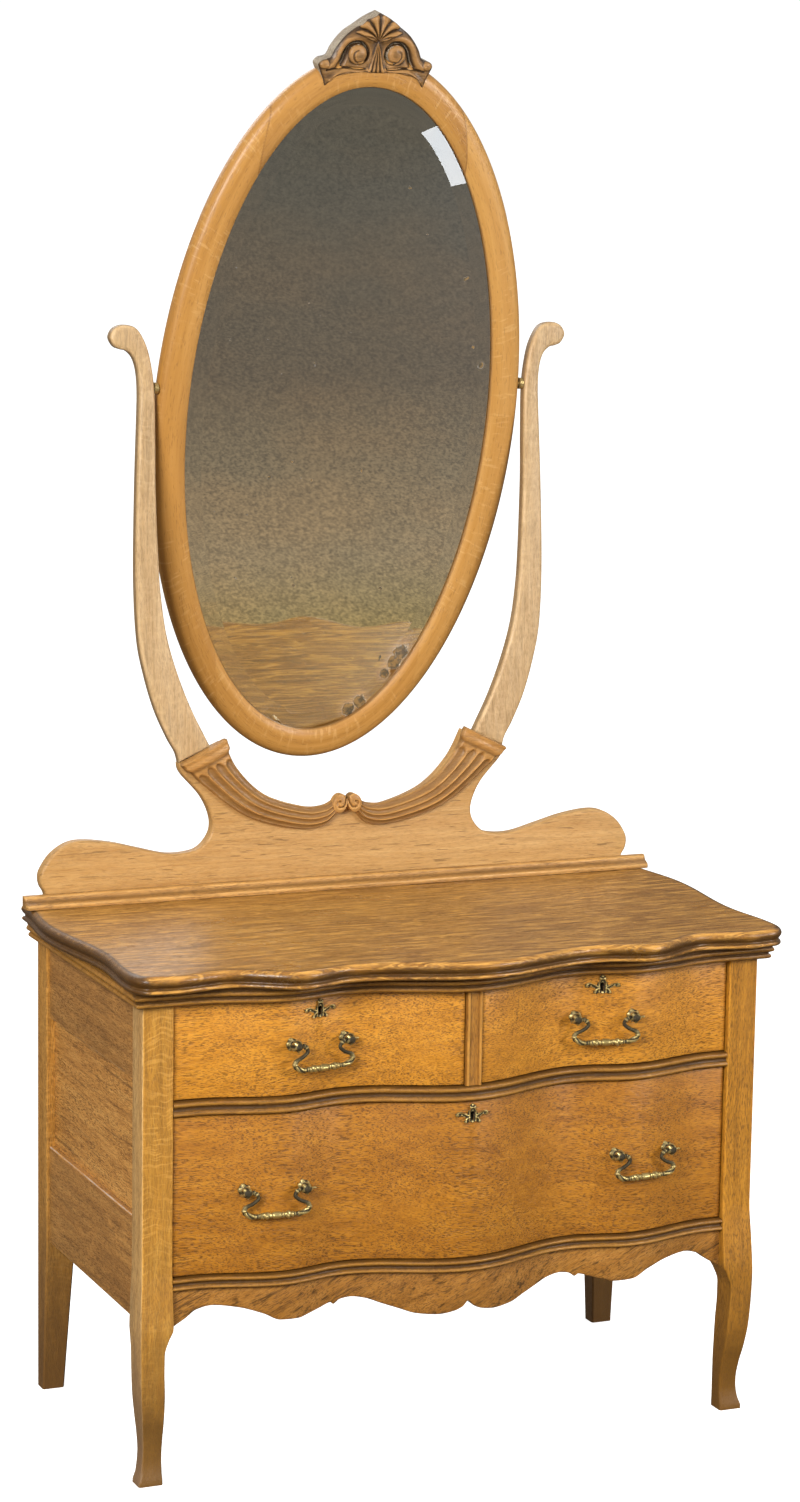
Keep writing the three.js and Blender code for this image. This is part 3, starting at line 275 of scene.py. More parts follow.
def oak(name, along, deep, mid, pale, pores=0.6, flecks=0.0, fleck_scales=(330, 50, 50), gloss=0.40, seed=0.0,
        dirt_shade_and_highlight=None, slant=0.0, lines=0.25, foot=None, figure=0.0, wear_and_highlight=None, ticks=0.0):
    """Oiled and varnished oak: growth rings, short dark pores, pale ray flecks, a polish with wear, and
    painted shade and highlight.
    """
    look = Look(name)
    move = (seed, seed * 1.7, seed * 0.6)

    def layer(scales, detail, roughness=0.5, bend=None, shift=move, distortion=0.0):
        return look.noise(grain(look, along, scales, shift, bend, slant), detail, roughness, distortion)

    drift = layer((1.8, 8, 8), 2)
    wander = (drift - 0.5) * 0.030
    rings = layer((2.4, 60, 60), 4, 0.6, wander)
    fibre = layer((22, 420, 420), 2, 0.6, wander)
    mottle = layer((38, 150, 150), 2, 0.6, wander, (seed * 2, 3, 8))
    mix = rings * 0.40 + drift * 0.16 + fibre * 0.28 + mottle * 0.16
    tone = look.ramp(mix, (0.33, deep), (0.50, mid), (0.67, pale))
    dark = tuple(c * 0.30 for c in deep)
    line = layer((3.5, 190, 190), 3, 0.6, wander * 1.6)
    tone = look.mixed(line.between(0.54, 0.68) * lines, tone, dark)
    pore = layer((120, 860, 860), 2, 0.5, wander).between(0.50, 0.60)
    bunch = layer((6, 28, 28), 2).between(0.22, 0.58)
    pore = pore * (bunch * 0.5 + 0.5)
    tone = look.mixed(pore * pores, tone, dark)
    if ticks:
        tick = layer((26, 330, 330), 1, 0.5, wander).between(0.66, 0.70)
        tone = look.mixed(tick * ticks, tone, dark)
    bump = (0.5 - pore) * 0.5 + rings * 0.2 + fibre * 0.15
    if flecks:
        bow = (look.noise(grain(look, along, (9, 34, 34), (4, seed, 2)), 1) - 0.5) * 0.030
        veins = grain(look, along, fleck_scales, move, (drift - 0.5) * 0.05, slant, bow)
        ray = look.noise(veins, 2, 0.5, 0.3)
        patch = look.noise(grain(look, along, (7, 16, 16), (seed + 3, 1, 5)), 2).between(0.25, 0.60)
        ray = ray.between(0.51, 0.62) * patch
        light = tuple(c * 1.36 + 0.015 for c in pale)
        tone = look.mixed(ray * flecks, tone, light)
        bump = bump + ray * 0.15
    if figure:
        curl = layer((8, 120, 120), 2, 0.5, wander * 2.0, distortion=0.5)
        curl = (1.0 - (curl - 0.5).sum("ABSOLUTE") * 15.0).between(0.1, 1.0)
        tone = look.mixed(curl * figure, tone, tuple(c * 1.32 + 0.008 for c in pale))
    # Where a piece marks its hollows the colour is darkened, partly old polish and dust and partly painted
    # shade; where it marks its ridges and arrises the colour is lightened, partly wear and partly painted
    # highlight.
    if dirt_shade_and_highlight is not None:
        recess = look.mark("recess")
        grime_and_shade_noise = look.noise(grain(look, along, (20, 90, 90), move), 4, 0.6)
        tone = look.mixed((recess + (grime_and_shade_noise - 0.5) * 0.6).between(0.25, 0.95) * dirt_shade_and_highlight, tone, dark)
        rub_and_highlight = (1.0 - recess + (grime_and_shade_noise - 0.5) * 0.8).between(0.72, 1.05)
        tone = look.mixed(rub_and_highlight * dirt_shade_and_highlight * 0.6, tone, wear_and_highlight or tuple(c * 1.55 + 0.006 for c in pale))
    # Darker towards the floor, below the height given as foot, with a ragged line.
    if foot is not None:
        up = look.axis(look.place(), "Z")
        foot_line_noise = look.noise(grain(look, along, (18, 60, 60), move), 3, 0.6)
        low = (1.0 - (up + (foot_line_noise - 0.5) * 0.22).between(0.0, foot))
        tone = look.mixed(low * 0.95, tone, (deep[0] * 0.50, deep[1] * 0.55, deep[2] * 0.9))
    cloud = look.noise(grain(look, along, (9, 9, 9), move), 3)
    normal = look.bump(0.6, 0.0006, bump)
    look.wear(Base_Color=tone, Roughness=gloss + (cloud - 0.5) * 0.16 + pore * 0.15, Normal=normal)
    look.wear(IOR=1.42, Coat_Weight=0.06, Coat_Roughness=0.25)
    return look.material


def eased(x, xs, ys):
    """A smooth line through heights, without overshoot."""
    x, xs, ys = np.asarray(x, float), np.asarray(xs, float), np.asarray(ys, float)
    slope = np.diff(ys) / np.diff(xs)
    tangent = np.zeros(len(xs))
    inner = slope[:-1] * slope[1:] > 0
    tangent[1:-1][inner] = 2 * slope[:-1][inner] * slope[1:][inner] / (slope[:-1][inner] + slope[1:][inner])
    i = np.clip(np.searchsorted(xs, x) - 1, 0, len(xs) - 2)
    span = xs[i + 1] - xs[i]
    t = np.clip((x - xs[i]) / span, 0, 1)
    return ((1 + 2 * t) * (1 - t) ** 2 * ys[i] + t * (1 - t) ** 2 * span * tangent[i]
            + t * t * (3 - 2 * t) * ys[i + 1] + t * t * (t - 1) * span * tangent[i + 1])


def marked(mesh, name, values):
    """Writes a value at every point of a mesh, for its material to read."""
    mesh.attributes.new(name, "FLOAT", "POINT").data.foreach_set("value", np.asarray(values, float))


def closed(name, points, faces, recess=None):
    """A mesh without doubled points, its faces turned outwards."""
    mesh = bpy.data.meshes.new(name)
    mesh.from_pydata([tuple(p) for p in points], [], faces)
    if recess is not None:
        marked(mesh, "recess", recess)
    shell = bmesh.new()
    shell.from_mesh(mesh)
    bmesh.ops.remove_doubles(shell, verts=shell.verts, dist=1e-6)
    bmesh.ops.recalc_face_normals(shell, faces=shell.faces)
    shell.to_mesh(mesh)
    shell.free()
    return put(name, mesh)


def edged(made, sharp=50):
    made.data.shade_smooth()
    made.data.set_sharp_from_angle(angle=math.radians(sharp))


def piece(name, points, faces, look, slot, body="case", stands_for=(), sharp=50, recess=None):
    """A finished mesh in its place, riding on a body of the frame."""
    made = closed(name, points, faces, recess)
    edged(made, sharp)
    made.data.materials.append(look)
    settle(made, body, stands_for)
    return made


def settle(made, body, stands_for=()):
    if stands_for:
        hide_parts(*stands_for)
    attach(made, body)


def second_look(made, look, chosen):
    """Gives the chosen faces of a piece another material."""
    made.data.materials.append(look)
    for face in made.data.polygons:
        if chosen(face):
            face.material_index = 1


def skin(rings, closed_row=False, outline=None):
    """Points and faces of a row of equal rings, with ends filled to suit an outline if one is given."""
    rings = [np.asarray(r, float) for r in rings]
    count = len(rings[0])
    faces = []
    for r in range(len(rings) if closed_row else len(rings) - 1):
        a, b = r * count, ((r + 1) % len(rings)) * count
        faces += [(a + i, a + (i + 1) % count, b + (i + 1) % count, b + i) for i in range(count)]
    fill = [tuple(range(count))]
    if outline is not None:
        sides = [(i, (i + 1) % count) for i in range(count)]
        fill = delaunay_2d_cdt([Vector(p) for p in outline], sides, [], 1, 1e-9)[2]
    if not closed_row:
        faces += [tuple(i + start for i in t) for start in (0, (len(rings) - 1) * count) for t in fill]
    return np.vstack(rings), faces


def joined(parts):
    """One mesh out of several, each given as points, faces and marks."""
    points, faces, marks = [], [], []
    for part_points, part_faces, part_marks in parts:
        start = sum(len(p) for p in points)
        points.append(part_points)
        faces += [tuple(i + start for i in f) for f in part_faces]
        marks.append(part_marks)
    return np.vstack(points), faces, np.concatenate(marks)


def mirrored(half):
    """A right-hand half made whole, without doubling the points on the middle line."""
    half = [tuple(p) for p in half]
    return half + [(-x, y) for x, y in reversed(half) if x > 1e-9]


def rounded(x0, x1, y0, y1, radius, steps=4):
    """A rectangle with rounded corners."""
    ring = []
    for cx, cy, start in ((x1, y1, 0), (x0, y1, 90), (x0, y0, 180), (x1, y0, 270)):
        for k in range(steps + 1):
            angle = math.radians(start + 90 * k / steps)
            inner_x = cx - radius if cx == x1 else cx + radius
            inner_y = cy - radius if cy == y1 else cy + radius
            ring.append((inner_x + radius * math.cos(angle), inner_y + radius * math.sin(angle)))
    return ring


knee = 0.300
leg_places = [0, 0.01, 0.05, 0.1, 0.147, 0.22, 0.317, 0.417, 0.533, 0.6, 0.667, 0.71, 0.833, 1]
leg_front = [0.6, 0.6, 0.82, 1, 0.92, 0.62, 0.02, -0.35, -0.54, -0.6, -0.62, -0.57, -0.31, 0]
leg_side = [0, 0, 0.57, 0.88, 1, 0.77, 0.23, -0.23, -0.46, -0.52, -0.55, -0.5, -0.31, 0]
leg_inner = [0.75, 0.75, 0.75, 0.75, 0.75, 0.75, 0.8, 0.87, 1, 1, 0.5, 0, 0, 0]
inner_cut, side_cut, front_cut, far_cut, post_round = 0.012, 0.0065, 0.013, 0.007, 0.0030
post_oak = {
    "left": oak("oak_post_left", "Z", (0.31, 0.134, 0.018), (0.50, 0.230, 0.031), (0.64, 0.34, 0.065),
                pores=0.34, flecks=0.30, fleck_scales=(270, 34, 34), gloss=0.40,
                dirt_shade_and_highlight=0.5, foot=0.33, lines=0.14),
    "right": oak("oak_post_right", "Z", (0.30, 0.120, 0.011), (0.52, 0.218, 0.018), (0.66, 0.31, 0.034),
                 pores=0.62, flecks=0.08, fleck_scales=(270, 34, 34), gloss=0.40, seed=3.0,
                 dirt_shade_and_highlight=0.5, foot=0.33, lines=0.30),
}
# A paler oak for the outer faces: painted light from the side.
post_side_lit_oak = oak("oak_post_sides_lit", "Z", (0.40, 0.205, 0.062), (0.60, 0.345, 0.118), (0.72, 0.46, 0.19),
                    pores=0.45, gloss=0.42, seed=5.0, dirt_shade_and_highlight=0.5, foot=0.33)
# Marks round each ring of a front post: lighter on the rounded arrises, partly wear and partly painted
# highlight; darker on the flat faces, partly old polish and partly painted shade.
arris_wear_and_shade = [0.55, 0.25, 0.05, 0.25, 0.55] * 4


def front_post(sign):
    rings = []
    for z in [*np.linspace(0, knee, 61), post_top]:
        share = min(1.0, z / knee)
        inner = case_half - post + inner_cut * float(eased(share, leg_places, leg_inner))
        outer = case_half - side_cut * float(eased(share, leg_places, leg_side))
        near = front_y + front_cut * float(eased(share, leg_places, leg_front))
        far = front_y + post - far_cut * float(eased(share, leg_places, leg_inner))
        rings.append([(sign * x, y, z) for x, y in rounded(inner, outer, near, far, post_round)])
    return skin(rings)


for side, sign in (("left", -1), ("right", 1)):
    points, faces = front_post(sign)
    arris = np.tile(arris_wear_and_shade, len(points) // len(arris_wear_and_shade))
    made = piece("leg_front_" + side, points, faces, post_oak[side], "oak_pale",
                 stands_for=["post_front_" + side], sharp=38, recess=arris)
    # Painted light: the outer face gets the paler oak, as if lit from the side.
    second_look(made, post_side_lit_oak, lambda face: face.normal.x * sign > 0.7)

# Back posts, side rails, panels and the back
# The case is framed and panelled: plain tapered posts behind, a wide rail above and below each
# fielded panel, and a thin board across the back. The CAD pieces keep their shape.
back_post_oak = oak("oak_back_posts", "Z", (0.27, 0.115, 0.018), (0.45, 0.205, 0.034), (0.58, 0.30, 0.068),
                    pores=0.5, flecks=0.2, seed=7.0, foot=0.42)
# The pale grey-blue given to the rounded arrises of the side rails is a painted highlight, where an arris
# catches the light.
side_oak = oak("oak_sides", "Y", (0.29, 0.122, 0.026), (0.49, 0.225, 0.052), (0.62, 0.32, 0.086), pores=0.55,
               flecks=0.16, fleck_scales=(26, 210, 210), gloss=0.46, seed=4.0, dirt_shade_and_highlight=0.8,
               lines=0.35, wear_and_highlight=(0.48, 0.50, 0.50))
panel_oak = oak("oak_panels", "Y", (0.25, 0.100, 0.020), (0.50, 0.228, 0.050), (0.65, 0.34, 0.090),
                pores=0.66, flecks=0.22, fleck_scales=(24, 190, 190), gloss=0.44, seed=9.0, lines=0.55)
back_wood = oak("backing_wood", "X", (0.24, 0.13, 0.060), (0.36, 0.21, 0.105), (0.45, 0.28, 0.15),
                pores=0.35, gloss=0.62, seed=2.0)
drawer_wood = oak("drawer_wood", "Y", (0.34, 0.20, 0.095), (0.50, 0.32, 0.165), (0.60, 0.41, 0.23),
                  pores=0.3, gloss=0.55, seed=6.0)


def dress(look, *nodes):
    for node in nodes:
        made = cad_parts[node]
        made.data.materials.clear()
        made.data.materials.append(look)


rail_thick, rail_near, rail_far = 0.022, -0.1973, 0.1596
rail_outer = case_half - 0.004
rail_arris = np.tile([0.55, 0.2, 0.0, 0.2, 0.55] * 4, 2)
for side, sign in (("left", -1), ("right", 1)):
    dress(back_post_oak, "post_back_" + side)
    dress(panel_oak, "side_panel_" + side)
    for which, low, high in (("upper", 0.535, post_top), ("lower", 0.217, 0.354)):
        ring = rounded(rail_outer - rail_thick, rail_outer, low, high, 0.0024)
        rings = [[(sign * x, y, z) for x, z in ring] for y in (rail_near, rail_far)]
        piece("rail_" + which + "_" + side, *skin(rings), side_oak, "oak_golden",
              stands_for=["side_rail_" + which + "_" + side], sharp=38, recess=rail_arris)
dress(back_wood, "back_panel", "runner_frame_upper", "runner_frame_lower")

# Top board
# One wide glued board, quarter-sawn, with a serpentine front, rounded front corners, waisted ends
# and a thumb-moulded edge all round but the back.
top_low = 0.6636
top_half = 0.475


def wave(place, places, values):
    """Heights joined by level rises and falls."""
    place = np.abs(np.asarray(place, float))
    places, values = np.asarray(places, float), np.asarray(values, float)
    i = np.clip(np.searchsorted(places, place) - 1, 0, len(places) - 2)
    t = np.clip((place - places[i]) / (places[i + 1] - places[i]), 0, 1)
    return values[i] + (values[i + 1] - values[i]) * (1 - np.cos(np.pi * t)) / 2


def top_outline():
    """Places run from 0 in the middle to 1 at the corner in front, and from -1 to 1 along a side."""
    half_deep, bow, waist_cut, corner_at, back_at = 0.2208, 0.095, 0.017, 0.93, 1.016
    middle = (front_y + back_y) / 2
    near = middle - half_deep
    front = [(s * top_half, near - bow * float(wave(
        s, [0, 0.362, 0.518, 0.716, 0.863, corner_at], [1, 0.59, 0.775, 0.37, 0.487, 0.44])))
        for s in np.linspace(0, corner_at, 90)]
    span = (-corner_at, back_at)
    waist_places = np.interp([-corner_at, -0.52, 0.353, back_at], span, [0, 1])

    def side(s):
        cut = wave(float(np.interp(s, span, [0, 1])), waist_places, [0.62, 1, 0, 0.76])
        return (top_half - waist_cut * float(cut), middle + s * half_deep)

    start, bend, end = front[-1], (0.985 * top_half, near - bow * 0.395), side(-corner_at)
    corner = [tuple((1 - t) ** 2 * a + 2 * t * (1 - t) * b + t * t * c for a, b, c in zip(start, bend, end))
              for t in np.linspace(0, 1, 14)[1:-1]]
    edge = [side(s) for s in np.linspace(*span, 60)]
    return mirrored(front + corner + edge)


def inset(outline, reach):
    """An outline drawn in by a reach, square to its own line."""
    line = np.asarray(outline, float)
    ahead, behind = np.roll(line, -1, 0), np.roll(line, 1, 0)
    first = (line - behind) / np.linalg.norm(line - behind, axis=1)[:, None]
    second = (ahead - line) / np.linalg.norm(ahead - line, axis=1)[:, None]
    run = first + second
    run /= np.linalg.norm(run, axis=1)[:, None]
    turn = np.sign(np.sum(line[:, 0] * ahead[:, 1] - ahead[:, 0] * line[:, 1]))
    lean = np.clip(np.einsum("ij,ij->i", run, second), 0.5, 1)
    moved = line + np.stack([-run[:, 1], run[:, 0]], 1) * (turn * reach / lean)[:, None]
    for corner in np.flatnonzero(np.einsum("ij,ij->i", first, second) < 0.8):
        moved[np.linalg.norm(line - line[corner], axis=1) < 1.5 * reach] = moved[corner]
    return moved


def through(points, count):
    """A curve through points, evenly stepped between them."""
    p = np.asarray(points, float)
    t = np.linspace(0, len(p) - 1, count)
    i = np.clip(t.astype(int), 0, len(p) - 2)
    f = (t - i)[:, None]
    p0, p1 = p[np.clip(i - 1, 0, None)], p[i]
    p2, p3 = p[i + 1], p[np.clip(i + 2, None, len(p) - 1)]
    return 0.5 * (2 * p1 + (p2 - p0) * f + (2 * p0 - 5 * p1 + 4 * p2 - p3) * f ** 2
                  + (3 * p1 - p0 - 3 * p2 + p3) * f ** 3)


top_oak = oak("oak_top", "X", (0.184, 0.072, 0.0095), (0.330, 0.140, 0.020), (0.46, 0.226, 0.040), pores=0.55,
              flecks=0.34, fleck_scales=(20, 120, 120), gloss=0.30, seed=12.0,
              dirt_shade_and_highlight=0.90, lines=0.4, figure=0.95)
edge_line = top_outline()
# The third value of each point of the nose marks its colour: darker low down and in the grooves, partly old
# polish and partly painted shade; lighter along the upper arris, partly wear and partly painted highlight.
# The sides and the front corners are marked darker too.
nose = through([(0.0050, 0.0, 0.9), (0.0026, 0.0006, 0.8), (0.0010, 0.0024, 0.35), (0.0009, 0.0044, 0.15),
                (0.0020, 0.0062, 0.7), (0.0040, 0.0072, 1.0), (0.0043, 0.0088, 1.0), (0.0028, 0.0108, 0.8),
                (0.0009, 0.0135, 0.6), (0, 0.0160, 0.5), (0.0005, 0.0188, 0.3), (0.0019, 0.0211, 0.05),
                (0.0040, 0.0227, 0.0), (0.0064, 0.0236, 0.2), (0.0088, 0.0239, 0.6),
                (0.0115, 0.0240, 0.42)], 40)
rings = [[(x, y, top_low + up) for x, y in inset(edge_line, back)] for back, up, _ in nose]
edge_run = np.roll(edge_line, -1, 0) - np.roll(edge_line, 1, 0)
at_side = np.abs(edge_run[:, 1]) / np.linalg.norm(edge_run, axis=1)
at_side += 0.8 * np.array([math.exp(-((abs(x) - 0.466) / 0.016) ** 2) * (y < front_y) for x, y in edge_line])
marks = np.array([np.clip(mark + 0.75 * at_side * (back < 0.008), 0, 1) for back, _, mark in nose])
piece("top_board_shaped", *skin(rings, outline=edge_line), top_oak, "oak_brown", stands_for=["top_board"],
      recess=marks.ravel())

# Moulding under the top board and the two rails between the drawers
# Lengths of run moulding follow the swell of the front: a cove and two beads under the top, and twin beads on
# each rail. The hollows are darker, partly old polish and dust, partly painted shade; the beads are lighter,
# partly wear, partly painted highlight.
swell_depth = 0.051


def swell(x):
    return swell_depth * wave(np.asarray(x) / case_half, [0, 0.375, 0.568, 0.852], [1, 0.18, 0.47, 0])


rail_oak = oak("oak_mouldings", "X", (0.135, 0.054, 0.0062), (0.252, 0.105, 0.0112), (0.37, 0.171, 0.021),
               pores=0.45, flecks=0.15, gloss=0.44, seed=15.0, dirt_shade_and_highlight=0.85, wear_and_highlight=(0.43, 0.20, 0.028))
moulding_low = 0.6403
corner_run = 0.035
cove = through([(0.009, 0), (0.0121, 0.0016), (0.0131, 0.0039), (0.0121, 0.0064), (0.0104, 0.0076),
                (0.0110, 0.0090), (0.0149, 0.0110), (0.0160, 0.0136), (0.0149, 0.0161), (0.0140, 0.0170),
                (0.0149, 0.0200), (0.0180, 0.0230)], 56)
cove_recess = eased(cove[:, 1], [0, 0.0035, 0.0076, 0.0136, 0.0170, 0.0230], [0.5, 0.1, 0.9, 0.1, 0.8, 0.6])
cove = np.vstack([cove, [(-0.035, 0.0230), (-0.035, 0)]])
cove_recess = np.append(cove_recess, [0.5, 0.5])
stations = np.linspace(-case_half, case_half, 161)[1:-1]
track = [(-case_half, back_y, -1, 0), (-case_half, front_y + corner_run, -1, 0),
         (-case_half, front_y, -1, -1)]
track += [(x, front_y - float(swell(x)), 0, -1) for x in stations if abs(x) < case_half - 0.036]
track += [(case_half, front_y, 1, -1), (case_half, front_y + corner_run, 1, 0), (case_half, back_y, 1, 0)]
rings = [[(x + ox * out, y + oy * out, moulding_low + up) for out, up in cove] for x, y, ox, oy in track]
# Painted light: on the case's sides the moulding keeps only a little of this darkening and more of the
# lightening, as if lit by the lamp there.
side_lit_share = np.array([0.12 if abs(x) == case_half and oy == 0 else 1.0 for x, _, _, oy in track])
piece("moulding_run", *skin(rings), rail_oak, "oak_brown", stands_for=["top_moulding"],
      recess=np.outer(side_lit_share, cove_recess).ravel())

beads = through([(0.0052, 0), (0.0012, 0.07), (0, 0.2), (0.0014, 0.34), (0.0036, 0.43), (0.0036, 0.57),
                 (0.0014, 0.66), (0, 0.8), (0.0012, 0.93), (0.0052, 1)], 45)
bead_recess = eased(beads[:, 1], [0, 0.2, 0.5, 0.8, 1], [0.8, 0, 1, 0, 0.8])
bead_recess = np.append(bead_recess, [0.5, 0.5])
glue = 0.0003
reach = case_half - post - glue
for name, high, thick in (("middle_rail", 0.5115, 0.0205), ("lower_rail", 0.2775, 0.017)):
    rings = []
    for x in np.linspace(-reach, reach, 161):
        face = front_y - float(swell(x))
        ring = [(x, face + back, high - thick + up * thick) for back, up in beads]
        rings.append(ring + [(x, front_y + post, high), (x, front_y + post, high - thick)])
    piece(name + "_beaded", *skin(rings), rail_oak, "oak_brown", stands_for=[name],
          recess=np.tile(bead_recess, len(rings)))

# Centre stile between the upper drawers
# A short upright with a bead along each edge, tenoned into the middle rail. It stands proud of the
# two upper drawers and parts them.
stile_oak = oak("oak_stile", "Z", (0.20, 0.082, 0.013), (0.36, 0.152, 0.024), (0.48, 0.23, 0.042), pores=0.45,
                gloss=0.34, seed=17.0, dirt_shade_and_highlight=0.7)
stile_face = front_y - swell_depth + 0.003
stile_out, bead_round = 0.011, 0.0025
bead_turns = np.linspace(0, math.pi, 11)
half_bead = [(stile_out - bead_round + bead_round * math.cos(a),
              stile_face + bead_round - bead_round * math.sin(a)) for a in bead_turns]
stile_half = [(stile_out, stile_face + 0.040)] + half_bead + [(0.0056, stile_face + 0.0026)]
# Lighter along the bead tops, partly wear and partly painted highlight; a little darker on the flat between
# the beads.
stile_marks = [0.5] + [0.4 - 0.4 * math.sin(a) for a in bead_turns] + [0.35]
rings = [[(x, y, z) for x, y in mirrored(stile_half)] for z in (0.5118, post_top)]
piece("stile_beaded", *skin(rings), stile_oak, "oak_brown", stands_for=["centre_stile"],
      recess=np.tile(stile_marks + stile_marks[::-1], 2))

# Apron
# A board bent and sawn to the same swell, with a scalloped lower edge. It hangs under the lower rail,
# set back a little from it.
apron_oak = oak("oak_apron", "X", (0.17, 0.068, 0.011), (0.36, 0.150, 0.024), (0.50, 0.235, 0.050),
                pores=0.62, flecks=0.10, fleck_scales=(30, 190, 190), gloss=0.40,
                seed=21.0, slant=0.45, lines=0.85)
apron_places = [0, 0.02, 0.05, 0.106, 0.169, 0.227, 0.28, 0.333, 0.38, 0.42, 0.44, 0.452, 0.49, 0.54, 0.573,
                0.64, 0.7, 0.78, 0.86, 0.912, 0.95, 0.98, 1]
apron_drops = [0.72, 0.85, 0.94, 1, 0.97, 0.85, 0.73, 0.6, 0.55, 0.59, 0.68, 0.63, 0.7, 0.79, 0.84, 0.82,
               0.64, 0.48, 0.42, 0.5, 0.68, 0.8, 0.88]
apron_top, apron_thick, front_step = 0.2602, 0.020, 0.008
scallop_top, scallop_fall = 0.2605, 0.058
spots = np.linspace(0, 1, 161)
spots = np.unique(np.concatenate([-spots, spots, [0.44, -0.44, 0.452, -0.452]]))
rings = []
for s in spots:
    x = s * reach
    near = front_y + front_step - float(swell(x))
    low = scallop_top - scallop_fall * float(eased(abs(s), apron_places, apron_drops))
    far = near + apron_thick
    ring = [(near, apron_top), (near, low + 0.0018), (near + 0.0006, low + 0.0006), (near + 0.0018, low),
            (far - 0.0015, low), (far, low + 0.0015), (far, apron_top)]
    rings.append([(x, y, z) for y, z in ring])
piece("apron_scalloped", *skin(rings), apron_oak, "oak_golden", stands_for=["apron"])

# Drawers
# Serpentine fronts of golden oak, lap-jointed to plain sides and back, with a loose bottom in a
# groove. Each front has a pocket for its lock and a keyhole.
upper_oak = oak("oak_upper_fronts", "X", (0.305, 0.115, 0.010), (0.535, 0.217, 0.019), (0.695, 0.315, 0.034),
                pores=0.72, flecks=0.14, fleck_scales=(50, 300, 300), gloss=0.36,
                seed=27.0, slant=0.06, lines=0.08)
lower_oak = oak("oak_lower_front", "X", (0.225, 0.080, 0.007), (0.395, 0.151, 0.012), (0.515, 0.219, 0.021),
                pores=0.72, flecks=0.14, fleck_scales=(50, 300, 300), gloss=0.36,
                seed=31.0, slant=-0.05, lines=0.08)
# A near-black oak for the keyhole walls: painted shade inside the hole.
keyhole_shade_oak = oak("oak_keyhole_shade", "Y", (0.010, 0.006, 0.003), (0.018, 0.011, 0.006),
                (0.03, 0.018, 0.009), gloss=0.8)
drawers = {
    "upper_left": {"left": -0.3968, "right": -0.0122, "low": 0.5127, "high": 0.6388, "key": -0.202},
    "upper_right": {"left": 0.0122, "right": 0.3968, "low": 0.5127, "high": 0.6388, "key": 0.202},
    "lower": {"left": -0.3968, "right": 0.3968, "low": 0.2787, "high": 0.4898, "key": 0.0},
}
front_thick = 0.020
key_drop, keyhole_middle, keyhole_reach = 0.016, 0.019, 0.0085


def face_y(x):
    return front_y + front_step - swell(x)


def plain(made):
    """Turns a piece with modifiers into a plain mesh."""
    done = bpy.data.meshes.new_from_object(made.evaluated_get(bpy.context.evaluated_depsgraph_get()))
    made.modifiers.clear()
    made.data = done


def cut_away(made, *tools):
    """Takes the tools out of a piece."""
    for tool in tools:
        step = made.modifiers.new("cut", "BOOLEAN")
        step.operation, step.solver, step.object = "DIFFERENCE", "EXACT", tool
    plain(made)
    for tool in tools:
        bpy.data.objects.remove(tool)


def block(x, half, near, far, low, high):
    """A box to cut with, as wide to the left of x as to the right."""
    corners = ((x - half, near), (x + half, near), (x + half, far), (x - half, far))
    return closed("cutter", [(*corner, z) for z in (low, high) for corner in corners], box_faces)


def key_shape(x, z, radius, foot):
    """The outline of a keyhole: a round head over a straight slot."""
    head = [(x + radius * math.sin(a), z + radius * math.cos(a)) for a in np.linspace(-2.3, 2.3, 21)]
    return head + [(x + foot, z - 0.009), (x - foot, z - 0.009)]


def in_keyhole(face, x, z):
    """Whether a face is a wall of the keyhole round a place."""
    return abs(face.normal.y) < 0.5 and math.hypot(face.center.x - x, face.center.z - z) < keyhole_reach


box_faces = [(0, 1, 2, 3), (4, 5, 6, 7), (0, 1, 5, 4), (1, 2, 6, 5), (2, 3, 7, 6), (3, 0, 4, 7)]
bevel, half_way = 0.0016, (0.0005, 0.0004)
pocket_half, pocket_deep, pocket_drop, pocket_past = 0.0253, 0.0103, 0.0343, 0.003
cut_past = 0.05
for name, d in drawers.items():
    left, right, low, high, key = d.values()
    look, count = (lower_oak, 161) if name == "lower" else (upper_oak, 81)
    steps = [(x, 0) for x in np.linspace(left + bevel, right - bevel, count)]
    steps = [(left, bevel), (left + half_way[0], half_way[1]), *steps,
             (right - half_way[0], half_way[1]), (right, bevel)]
    rings = []
    for x, bend in steps:
        y = float(face_y(x)) + bend
        ring = [(y + front_thick - bend, low), (y + bevel, low), (y + half_way[1], low + half_way[0]),
                (y, low + bevel), (y, high - bevel),
                (y + half_way[1], high - half_way[0]), (y + bevel, high), (y + front_thick - bend, high)]
        rings.append([(x, a, b) for a, b in ring])
    made = piece("front_" + name, *skin(rings), look, "oak_golden",
                 "drawer_" + name, ["drawer_front_" + name])
    lock_back = float(face_y(key)) + front_thick
    pocket = block(key, pocket_half, lock_back - pocket_deep, lock_back + cut_past,
                   high - pocket_drop, high + pocket_past)
    hole = skin([[(x, y, z) for x, z in key_shape(key, high - key_drop, 0.003, 0.0018)]
                 for y in (lock_back - cut_past, lock_back)])
    cut_away(made, pocket, closed("cutter", *hole))
    # Painted shade: the walls of the keyhole are given the near-black oak.
    second_look(made, keyhole_shade_oak, lambda face: in_keyhole(face, key, high - keyhole_middle))
    edged(made)
    dress(drawer_wood, "drawer_box_" + name, "drawer_bottom_" + name)

# Locks
# A plain steel case let into the back of each front, with a brass bolt that rises into a mortise in
# the wood above it.
steel_look = Look("lock_steel")
scratch = steel_look.noise(grain(steel_look, "X", (60, 900, 900)), 3, 0.6)
rust = steel_look.noise(grain(steel_look, "X", (45, 45, 45)), 4, 0.65).between(0.52, 0.70)
steel_look.wear(Base_Color=steel_look.mixed(rust, (0.12, 0.115, 0.11), (0.07, 0.036, 0.018)),
                Metallic=1.0 - rust * 0.7, Roughness=0.35 + scratch * 0.2 + rust * 0.3)


